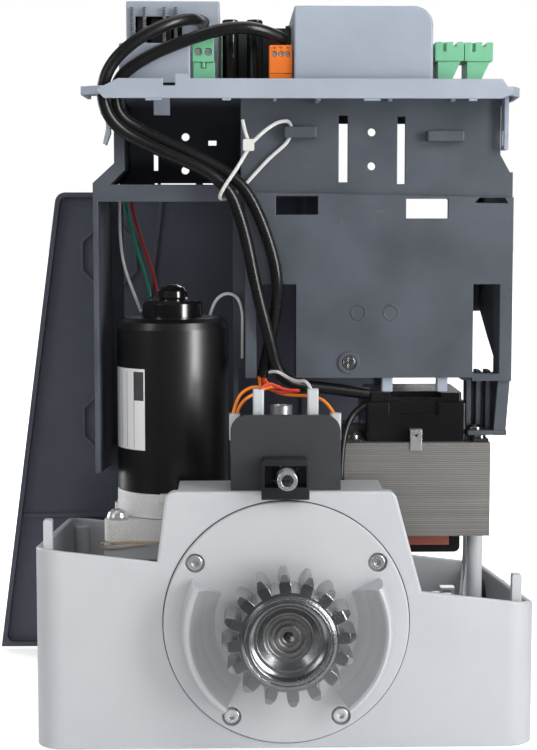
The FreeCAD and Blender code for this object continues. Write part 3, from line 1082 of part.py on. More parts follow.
# Limit switch wires: out of the signal cable's end and over to the four sleeves
orangeFar = [(-14.2, -44.6, 203.0), (-13.2, -52.4, 197.6), (-14.6, -61.0, 198.8), (-20.5, -71.0, 199.4),
             (-27.2, -79.0, 195.0), (-29.6, -81.2, 184.6)]
orangeNear = [(-11.4, -43.2, 202.3), (-8.2, -51.4, 197.8), (-0.8, -58.2, 198.0), (-6.0, -67.6, 200.4),
              (-17.5, -75.6, 196.6), (-25.6, -80.2, 191.6), (-27.4, -81.2, 184.6)]
orangeRight = [(-10.6, -45.2, 202.0), (-8.0, -51.0, 196.0), (2.0, -60.0, 193.8), (14.0, -70.0, 194.6),
               (23.6, -78.2, 193.0), (28.2, -81.2, 184.6)]
redLoop = [(-12.4, -45.8, 202.2), (-10.4, -52.6, 197.2), (-2.0, -58.6, 195.0), (7.6, -62.6, 196.4),
           (8.6, -72.6, 198.0), (-0.6, -79.6, 198.8), (-11.6, -86.4, 205.2), (-15.3, -90.3, 197.6)]
white = [(-8.0, -51.6, 206.4), (-4.4, -57.0, 208.0), (1.5, -62.0, 204.6), (7.0, -73.0, 203.0),
         (12.8, -85.6, 205.0), (15.3, -90.0, 197.4)]
limitRoutes = {"orange far": orangeFar, "orange near": orangeNear, "orange right": orangeRight,
               "red loop": redLoop, "white": white}
save("limit_wires", Part.makeCompound([tube(limitRoutes[k], wireR, k) for k in limitRoutes]))

# Cable tie: one strap through the bridge and round both cables
strapR = 1.05
strap = [(-20.6, -64.0, 334.0), (-26.5, -66.6, 324.0), (-34.4, -66.8, 312.6), (-37.4, -61.2, 306.4),
         (-32.4, -53.0, 306.8), (-24.0, -50.6, 312.6), (-8.0, -50.5, 330.0), (1.6, -50.4, 338.0),
         (5.2, -50.4, 344.6), (3.4, -51.4, 351.2), (-3.4, -57.0, 350.2), (-11.0, -61.8, 345.0),
         (-17.4, -63.4, 338.8)]
strapSolid = tube(strap, strapR, "strap")
tieHead = roundedBox(-23.4, -17.0, -66.4, -61.6, 333.4, 340.0, 0.9, V(0, 1, 0))
tail = tube([(-20.6, -63.8, 339.6), (-22.4, -63.2, 345.2), (-23.6, -62.6, 351.0)], 1.0, "tail")
save("cable_tie", strapSolid.fuse([tieHead, tail]).removeSplitter())

# ---------------------------------------------------------------- rear door
doorIn = rearY + 2.0
doorSkin = rearY + 8.0
doorOut = rearY + 11.4
doorOutline = [(-188.0, 3.0), (75.6, 3.0), (75.6, 313.0), (-147.0, 313.0)]
pocketOutline = [(-184.6, 6.0), (72.6, 6.0), (72.6, 310.0), (-144.2, 310.0)]
door = prismY(doorOutline, doorIn, doorOut)
door = softened(door, 7.0, lambda e: along(e, V(0, 1, 0)) and e.BoundBox.ZMin > 300)
door = softened(door, 3.0, lambda e: abs(e.BoundBox.YMin - doorOut) < 0.01 and e.BoundBox.YLength < 0.01)
pocket = prismY(pocketOutline, doorIn - 1, doorSkin)
pocket = softened(pocket, 5.0, lambda e: along(e, V(0, 1, 0)))
door = door.cut(pocket)


def octagon(xc, zc, hwid, hht, cut):
    return [(xc - hwid, zc - hht + cut), (xc - hwid + cut, zc - hht), (xc + hwid - cut, zc - hht),
            (xc + hwid, zc - hht + cut), (xc + hwid, zc + hht - cut), (xc + hwid - cut, zc + hht),
            (xc - hwid + cut, zc + hht), (xc - hwid, zc + hht - cut)]


for zc in (270.0, 157.5):
    big = prismY(octagon(-112.5, zc, 19.0, 20.5, 10.0), doorSkin - 3.0, doorSkin + 0.2)
    small = prismY(octagon(-112.5, zc, 17.0, 18.5, 9.2), doorSkin - 4.0, doorSkin - 0.0)
    door = door.fuse(big.cut(small))
ridge = prismY([(-77.6, 311.0), (-75.0, 311.0), (-115.4, 5.0), (-118.0, 5.0)], doorSkin - 2.2, doorSkin + 0.2)
ridge2 = box(18.0, 20.6, doorSkin - 2.2, doorSkin + 0.2, 5, 311)
ridge3 = prismY([(-172.0, 92.0), (75.0, 92.0), (75.0, 94.6), (-172.0, 94.6)], doorSkin - 2.2, doorSkin + 0.2)
door = door.fuse([ridge, ridge2, ridge3])
for z0, z1 in ((54.6, 76.0), (222.0, 243.4)):
    leaf = union([cylZ(hingeX, hingeY, z0, z1, 5.5), box(hingeX - 10, hingeX, hingeY - 4, hingeY + 3.8, z0, z1)])
    door = door.fuse(leaf)
    door = door.cut(cylZ(hingeX, hingeY, z0 - 1, z1 + 1, 3.0))
lockX = -126.0
lockZ = 62.0
door = door.fuse(cylY(lockX, lockZ, doorSkin - 4.0, doorSkin + 0.2, 13.0))
door = door.cut(cylY(lockX, lockZ, doorIn - 7, doorOut + 14, 9.0))
grip = prismY([(-170, 150), (-162, 150), (-156, 196), (-164, 196)], doorOut - 1.6, doorOut + 1)
door = door.cut(grip)
save("rear_door", door.removeSplitter())

lock = cylY(lockX, lockZ, doorSkin - 4.6, doorOut + 1.2, 8.95).fuse(cylY(lockX, lockZ, doorOut + 0.05, doorOut + 2.4, 11.5))
lock = softened(lock, 0.8, lambda e: e.BoundBox.YMin > doorOut + 2.3)
lock = lock.cut(box(lockX - 0.9, lockX + 0.9, doorOut - 3, doorOut + 3, lockZ - 3.6, lockZ + 3.6))
lock = lock.cut(cylY(lockX, lockZ, doorOut + 1.8, doorOut + 3, 6.4).cut(cylY(lockX, lockZ, doorOut + 1, doorOut + 4, 5.6)))
cam = box(lockX - 4, lockX + 4, doorSkin - 6.0 + 0.2, doorSkin - 4.65, lockZ - 5, lockZ + 5)
save("door_lock", Part.makeCompound([lock.removeSplitter(), cam]))

hingePins = []
for z0, z1 in ((27.0, 75.0), (223.0, 267.0)):
    hingePins.append(cylZ(hingeX, hingeY, z0, z1, 2.98))
save("hinge_pins", Part.makeCompound(hingePins))

print(len(written), "nodes written")
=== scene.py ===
import bpy
import math
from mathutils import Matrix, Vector


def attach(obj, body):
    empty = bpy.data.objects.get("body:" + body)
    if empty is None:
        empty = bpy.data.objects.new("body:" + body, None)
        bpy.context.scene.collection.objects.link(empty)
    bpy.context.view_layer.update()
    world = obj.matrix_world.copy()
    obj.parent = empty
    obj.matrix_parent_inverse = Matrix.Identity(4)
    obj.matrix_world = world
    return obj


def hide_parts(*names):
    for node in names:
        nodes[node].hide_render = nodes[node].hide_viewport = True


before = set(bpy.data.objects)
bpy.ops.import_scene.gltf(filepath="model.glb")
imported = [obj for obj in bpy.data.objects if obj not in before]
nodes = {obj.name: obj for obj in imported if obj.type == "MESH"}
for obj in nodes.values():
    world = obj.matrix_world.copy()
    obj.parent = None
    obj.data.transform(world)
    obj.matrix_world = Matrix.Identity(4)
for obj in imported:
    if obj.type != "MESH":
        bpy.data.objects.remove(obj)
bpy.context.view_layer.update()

mm = 0.001
shaftHeight = 71.5  # height of the output shaft's axis over the floor, in mm


def at(x, y, z):
    return Vector((x * mm, y * mm, z * mm))


print("stage: frame loaded,", len(nodes), "nodes")


# Helpers for shader trees

def newGroup(name, inputs, outputs):
    group = bpy.data.node_groups.new(name, "ShaderNodeTree")
    for label, value in inputs.items():
        socket = group.interface.new_socket(name=label, in_out="INPUT", socket_type="NodeSocketFloat")
        socket.default_value = value
    for label in outputs:
        kind = "NodeSocketVector" if label == "Normal" else "NodeSocketFloat"
        group.interface.new_socket(name=label, in_out="OUTPUT", socket_type=kind)
    enter = group.nodes.new("NodeGroupInput")
    leave = group.nodes.new("NodeGroupOutput")
    enter.location = (-900, 0)
    leave.location = (700, 0)
    return group, enter, leave


def link(tree, a, b):
    tree.links.new(a, b)


def noiseNode(tree, vector, scale, detail=3.0, rough=0.55):
    node = tree.nodes.new("ShaderNodeTexNoise")
    node.inputs["Detail"].default_value = detail
    node.inputs["Roughness"].default_value = rough
    link(tree, vector, node.inputs["Vector"])
    if isinstance(scale, (int, float)):
        node.inputs["Scale"].default_value = scale
    else:
        link(tree, scale, node.inputs["Scale"])
    return node


def mathNode(tree, operation, a, b=None, clamp=False):
    node = tree.nodes.new("ShaderNodeMath")
    node.operation = operation
    node.use_clamp = clamp
    for slot, value in ((0, a), (1, b)):
        if value is None:
            continue
        if isinstance(value, (int, float)):
            node.inputs[slot].default_value = value
        else:
            link(tree, value, node.inputs[slot])
    return node.outputs[0]


def stretch(tree, value, low, high, outLow=0.0, outHigh=1.0):
    node = tree.nodes.new("ShaderNodeMapRange")
    node.inputs["From Min"].default_value = low
    node.inputs["From Max"].default_value = high
    node.inputs["To Min"].default_value = outLow
    node.inputs["To Max"].default_value = outHigh
    link(tree, value, node.inputs["Value"])
    return node.outputs["Result"]


def blendColor(tree, mask, a, b):
    node = tree.nodes.new("ShaderNodeMix")
    node.data_type = "RGBA"
    link(tree, mask, node.inputs["Factor"])
    for socket, value in ((node.inputs[6], a), (node.inputs[7], b)):
        if isinstance(value, tuple):
            socket.default_value = (*value, 1.0)
        else:
            link(tree, value, socket)
    return node.outputs[2]


def objectCoords(tree):
    return tree.nodes.new("ShaderNodeTexCoord").outputs["Object"]


# Shader groups: each effect is built once and placed in the materials that need it.
# Scales count per metre.

# Fine texture of a moulded, painted or cast skin
skinGrain = {"coarseShare": 0.13, "pitShare": 0.7, "pitFloor": 0.12, "pitRim": 0.3, "fineWeight": 0.7,
             "coarseWeight": 0.5}


def buildGrain():
    g, enter, leave = newGroup("fineGrain", {"Scale": 900.0, "Pits": 0.2}, ("Height", "Mask"))
    coords = objectCoords(g)
    scale = enter.outputs["Scale"]
    fine = noiseNode(g, coords, scale, 4.0, 0.6)
    coarse = noiseNode(g, coords, mathNode(g, "MULTIPLY", scale, skinGrain["coarseShare"]), 2.0)
    pits = g.nodes.new("ShaderNodeTexVoronoi")
    link(g, coords, pits.inputs["Vector"])
    link(g, mathNode(g, "MULTIPLY", scale, skinGrain["pitShare"]), pits.inputs["Scale"])
    pitMask = stretch(g, pits.outputs["Distance"], skinGrain["pitFloor"], skinGrain["pitRim"])
    depth = mathNode(g, "MULTIPLY", mathNode(g, "SUBTRACT", 1.0, pitMask), enter.outputs["Pits"])
    mixed = mathNode(g, "ADD", mathNode(g, "MULTIPLY", fine.outputs["Fac"], skinGrain["fineWeight"]),
                     mathNode(g, "MULTIPLY", coarse.outputs["Fac"], skinGrain["coarseWeight"]))
    link(g, mathNode(g, "SUBTRACT", mixed, depth), leave.inputs["Height"])
    link(g, fine.outputs["Fac"], leave.inputs["Mask"])
    return g


# Slow change of tone and gloss over a surface
slowDrift = {"detail": 5.0, "rough": 0.6, "low": 0.35, "high": 0.65}


def buildDrift():
    g, enter, leave = newGroup("toneDrift", {"Scale": 14.0}, ("Value",))
    big = noiseNode(g, objectCoords(g), enter.outputs["Scale"], slowDrift["detail"], slowDrift["rough"])
    link(g, stretch(g, big.outputs["Fac"], slowDrift["low"], slowDrift["high"]), leave.inputs["Value"])
    return g


# Mask along the outer edges, broken up by noise, and the rounded normal there. The lighter edge colour it
# lays is partly wear and partly a painted highlight.
wornAndLitEdge = {"radius": 0.7 * mm, "samples": 4, "flat": 0.995, "turned": 0.86, "speckLow": 0.38,
            "speckHigh": 0.62}


def buildEdge():
    g, enter, leave = newGroup("edgeWearAndHighlight", {"Breakup": 220.0, "Amount": 0.6}, ("Mask", "Normal"))
    bevel = g.nodes.new("ShaderNodeBevel")
    bevel.samples = wornAndLitEdge["samples"]
    bevel.inputs["Radius"].default_value = wornAndLitEdge["radius"]
    geometry = g.nodes.new("ShaderNodeNewGeometry")
    dot = g.nodes.new("ShaderNodeVectorMath")
    dot.operation = "DOT_PRODUCT"
    link(g, bevel.outputs["Normal"], dot.inputs[0])
    link(g, geometry.outputs["Normal"], dot.inputs[1])
    edge = stretch(g, dot.outputs["Value"], wornAndLitEdge["flat"], wornAndLitEdge["turned"])
    speck = noiseNode(g, objectCoords(g), enter.outputs["Breakup"], 4.0, 0.7)
    edgeBreakup = stretch(g, speck.outputs["Fac"], wornAndLitEdge["speckLow"], wornAndLitEdge["speckHigh"])
    link(g, mathNode(g, "MULTIPLY", mathNode(g, "MULTIPLY", edge, edgeBreakup), enter.outputs["Amount"], True),
         leave.inputs["Mask"])
    link(g, bevel.outputs["Normal"], leave.inputs["Normal"])
    return g


# Light dust that lies on faces that look up, and a little of it everywhere
lyingDust = {"steep": 0.35, "level": 0.95, "patchLow": 0.4, "patchHigh": 0.7, "everywhere": 0.18}


def buildDust():
    g, enter, leave = newGroup("settledDust", {"Amount": 0.25, "Scale": 60.0}, ("Mask",))
    geometry = g.nodes.new("ShaderNodeNewGeometry")
    split = g.nodes.new("ShaderNodeSeparateXYZ")
    link(g, geometry.outputs["Normal"], split.inputs[0])
    up = stretch(g, split.outputs["Z"], lyingDust["steep"], lyingDust["level"])
    cloud = noiseNode(g, objectCoords(g), enter.outputs["Scale"], 6.0, 0.65)
    patch = stretch(g, cloud.outputs["Fac"], lyingDust["patchLow"], lyingDust["patchHigh"])
    faint = mathNode(g, "MULTIPLY", patch, lyingDust["everywhere"])
    both = mathNode(g, "ADD", mathNode(g, "MULTIPLY", up, patch), faint)
    link(g, mathNode(g, "MULTIPLY", both, enter.outputs["Amount"], True), leave.inputs["Mask"])
    return g


# Sparse fine scuffs in two directions, in patches
fineLines = {"turns": (0.5, 2.2), "stretches": ((1.0, 1.0, 14.0), (13.0, 1.0, 1.0)), "lineLow": 0.735,
             "lineHigh": 0.76, "patchScale": 18.0, "patchLow": 0.45, "patchHigh": 0.6}


def buildScuffs():
    g, enter, leave = newGroup("fineScuffs", {"Scale": 60.0, "Amount": 0.3}, ("Mask",))
    coords = objectCoords(g)
    masks = []
    for turn, squeeze in zip(fineLines["turns"], fineLines["stretches"]):
        mapping = g.nodes.new("ShaderNodeMapping")
        mapping.inputs["Rotation"].default_value = (0.3, turn, 0.2)
        mapping.inputs["Scale"].default_value = squeeze
        link(g, coords, mapping.inputs["Vector"])
        lines = noiseNode(g, mapping.outputs["Vector"], enter.outputs["Scale"], 2.0, 0.5)
        masks.append(stretch(g, lines.outputs["Fac"], fineLines["lineLow"], fineLines["lineHigh"]))
    where = noiseNode(g, coords, fineLines["patchScale"], 2.0)
    patch = stretch(g, where.outputs["Fac"], fineLines["patchLow"], fineLines["patchHigh"])
    total = mathNode(g, "MULTIPLY", mathNode(g, "ADD", masks[0], masks[1], True), patch)
    link(g, mathNode(g, "MULTIPLY", total, enter.outputs["Amount"], True), leave.inputs["Mask"])
    return g


# Tool marks that run round the output shaft's axis
toolMarks = {"alongShare": 0.12, "wideShare": 0.21}


def buildTurned():
    g, enter, leave = newGroup("turnedRings", {"Pitch": 2600.0}, ("Height", "Tone"))
    pitch = enter.outputs["Pitch"]
    split = g.nodes.new("ShaderNodeSeparateXYZ")
    link(g, objectCoords(g), split.inputs[0])
    dz = mathNode(g, "SUBTRACT", split.outputs["Z"], shaftHeight * mm)
    r2 = mathNode(g, "ADD", mathNode(g, "MULTIPLY", split.outputs["X"], split.outputs["X"]),
                  mathNode(g, "MULTIPLY", dz, dz))
    radius = mathNode(g, "SQRT", r2)
    line = g.nodes.new("ShaderNodeCombineXYZ")
    link(g, mathNode(g, "MULTIPLY", radius, pitch), line.inputs["X"])
    along = mathNode(g, "MULTIPLY", split.outputs["Y"], pitch)
    link(g, mathNode(g, "MULTIPLY", along, toolMarks["alongShare"]), line.inputs["Y"])
    rings = noiseNode(g, line.outputs["Vector"], 1.0, 3.0, 0.6)
    wide = noiseNode(g, line.outputs["Vector"], toolMarks["wideShare"], 2.0, 0.5)
    link(g, rings.outputs["Fac"], leave.inputs["Height"])
    link(g, wide.outputs["Fac"], leave.inputs["Tone"])
    return g


# Stamped sheets stacked upwards, each with its own tone
stampedSheets = {"gapFrom": 0.34, "smearScale": 90.0, "sheetWeight": 0.7, "smearWeight": 0.5}


def buildStack():
    g, enter, leave = newGroup("sheetStack", {"Sheets": 900.0}, ("Height", "Tone", "Gap"))
    split = g.nodes.new("ShaderNodeSeparateXYZ")
    link(g, objectCoords(g), split.inputs[0])
    level = mathNode(g, "MULTIPLY", split.outputs["Z"], enter.outputs["Sheets"])
    number = mathNode(g, "FLOOR", level)
    white = g.nodes.new("ShaderNodeTexWhiteNoise")
    white.noise_dimensions = "1D"
    link(g, number, white.inputs["W"])
    part = mathNode(g, "FRACT", level)
    hill = mathNode(g, "ABSOLUTE", mathNode(g, "SUBTRACT", part, 0.5))
    gap = stretch(g, hill, stampedSheets["gapFrom"], 0.5)
    smear = noiseNode(g, objectCoords(g), stampedSheets["smearScale"], 4.0, 0.7)
    tone = mathNode(g, "ADD", mathNode(g, "MULTIPLY", white.outputs["Value"], stampedSheets["sheetWeight"]),
                    mathNode(g, "MULTIPLY", smear.outputs["Fac"], stampedSheets["smearWeight"]))
    link(g, mathNode(g, "SUBTRACT", 1.0, gap), leave.inputs["Height"])
    link(g, tone, leave.inputs["Tone"])
    link(g, gap, leave.inputs["Gap"])
    return g


grainGroup = buildGrain()
driftGroup = buildDrift()
edgeGroup = buildEdge()
dustGroup = buildDust()
scuffGroup = buildScuffs()
turnedGroup = buildTurned()
stackGroup = buildStack()


def place(tree, group, **values):
    node = tree.nodes.new("ShaderNodeGroup")
    node.node_tree = group
    for key, value in values.items():
        node.inputs[key].default_value = value
    return node


# What a finish has unless its own entry says otherwise
plainLook = {"drift": 16.0, "grain": 900.0, "pits": 0.1, "breakup": 240.0, "edge": 0.4, "dust": 0.15,
             "dustScale": 70.0, "dustColor": (0.5, 0.48, 0.45), "scuffScale": 60.0, "metal": 0.0,
             "coat": 0.0, "coatRough": 0.1, "specular": 0.5, "ior": 1.45, "bump": 0.3,
             "bumpDepth": 0.0001}
# How the effects add up in every finish
blending = {"gapDark": 0.75, "stackGrain": 0.25, "turnedGrain": 0.4, "speckleLow": 0.44,
            "speckleHigh": 0.60, "grainLow": 0.3, "grainHigh": 0.7, "glossSpread": 0.03,
            "dustDull": 0.4, "softDepth": 0.002}


def surface(name, ownLook):
    look = {**plainLook, **ownLook}
    mat = bpy.data.materials.new(name)
    mat.use_nodes = True
    tree = mat.node_tree
    shader = tree.nodes["Principled BSDF"]
    drift = place(tree, driftGroup, Scale=look["drift"])
    grain = place(tree, grainGroup, Scale=look["grain"], Pits=look["pits"])
    edge = place(tree, edgeGroup, Breakup=look["breakup"], Amount=look["edge"])
    dust = place(tree, dustGroup, Amount=look["dust"], Scale=look["dustScale"])
    color = blendColor(tree, drift.outputs["Value"], look["color"], look["second"])
    height = grain.outputs["Height"]
    if "stack" in look:
        stack = place(tree, stackGroup, Sheets=look["stack"])
        color = blendColor(tree, stack.outputs["Tone"], color, look["third"])
        # Dark gaps: real joints between the transformer core's sheets, and painted shade in the grooves of
        # the serrated pins
        gap = mathNode(tree, "MULTIPLY", stack.outputs["Gap"], blending["gapDark"])
        color = blendColor(tree, gap, color, look["gapColor"])
        height = mathNode(tree, "ADD", mathNode(tree, "MULTIPLY", height, blending["stackGrain"]),
                          stack.outputs["Height"])
    if "turned" in look:
        turned = place(tree, turnedGroup, Pitch=look["turned"])
        color = blendColor(tree, turned.outputs["Tone"], color, look["third"])
        height = mathNode(tree, "ADD", mathNode(tree, "MULTIPLY", height, blending["turnedGrain"]),
                          turned.outputs["Height"])
    if "speckle" in look:
        spot = stretch(tree, grain.outputs["Mask"], blending["speckleLow"], blending["speckleHigh"],
                       0.0, look["speckle"])
        color = blendColor(tree, spot, color, look["speckColor"])
    # Lighter edges: partly wear, partly a painted highlight on every edge
    color = blendColor(tree, edge.outputs["Mask"], color, look.get("edgeColor", look["second"]))
    if "scuffs" in look:
        scuff = place(tree, scuffGroup, Scale=look["scuffScale"], Amount=look["scuffs"])
        color = blendColor(tree, scuff.outputs["Mask"], color, look["scuffColor"])
    color = blendColor(tree, dust.outputs["Mask"], color, look["dustColor"])
    link(tree, color, shader.inputs["Base Color"])
    low, high = look["rough"]
    gloss = stretch(tree, drift.outputs["Value"], 0.0, 1.0, low, high)
    fineGloss = stretch(tree, grain.outputs["Mask"], blending["grainLow"], blending["grainHigh"],
                        -blending["glossSpread"], blending["glossSpread"])
    dusty = mathNode(tree, "MULTIPLY", dust.outputs["Mask"], blending["dustDull"])
    link(tree, mathNode(tree, "ADD", mathNode(tree, "ADD", gloss, fineGloss), dusty, True),
         shader.inputs["Roughness"])
    shader.inputs["Metallic"].default_value = look["metal"]
    shader.inputs["Coat Weight"].default_value = look["coat"]
    shader.inputs["Coat Roughness"].default_value = look["coatRough"]
    shader.inputs["Specular IOR Level"].default_value = look["specular"]
    shader.inputs["IOR"].default_value = look["ior"]
    if "soft" in look:
        shader.inputs["Subsurface Weight"].default_value = look["soft"]
        shader.inputs["Subsurface Radius"].default_value = (blending["softDepth"],) * 3
        shader.inputs["Subsurface Scale"].default_value = 1.0
    bump = tree.nodes.new("ShaderNodeBump")
    bump.inputs["Strength"].default_value = look["bump"]
    bump.inputs["Distance"].default_value = look["bumpDepth"]
    link(tree, height, bump.inputs["Height"])
    link(tree, edge.outputs["Normal"], bump.inputs["Normal"])
    link(tree, bump.outputs["Normal"], shader.inputs["Normal"])
    return mat


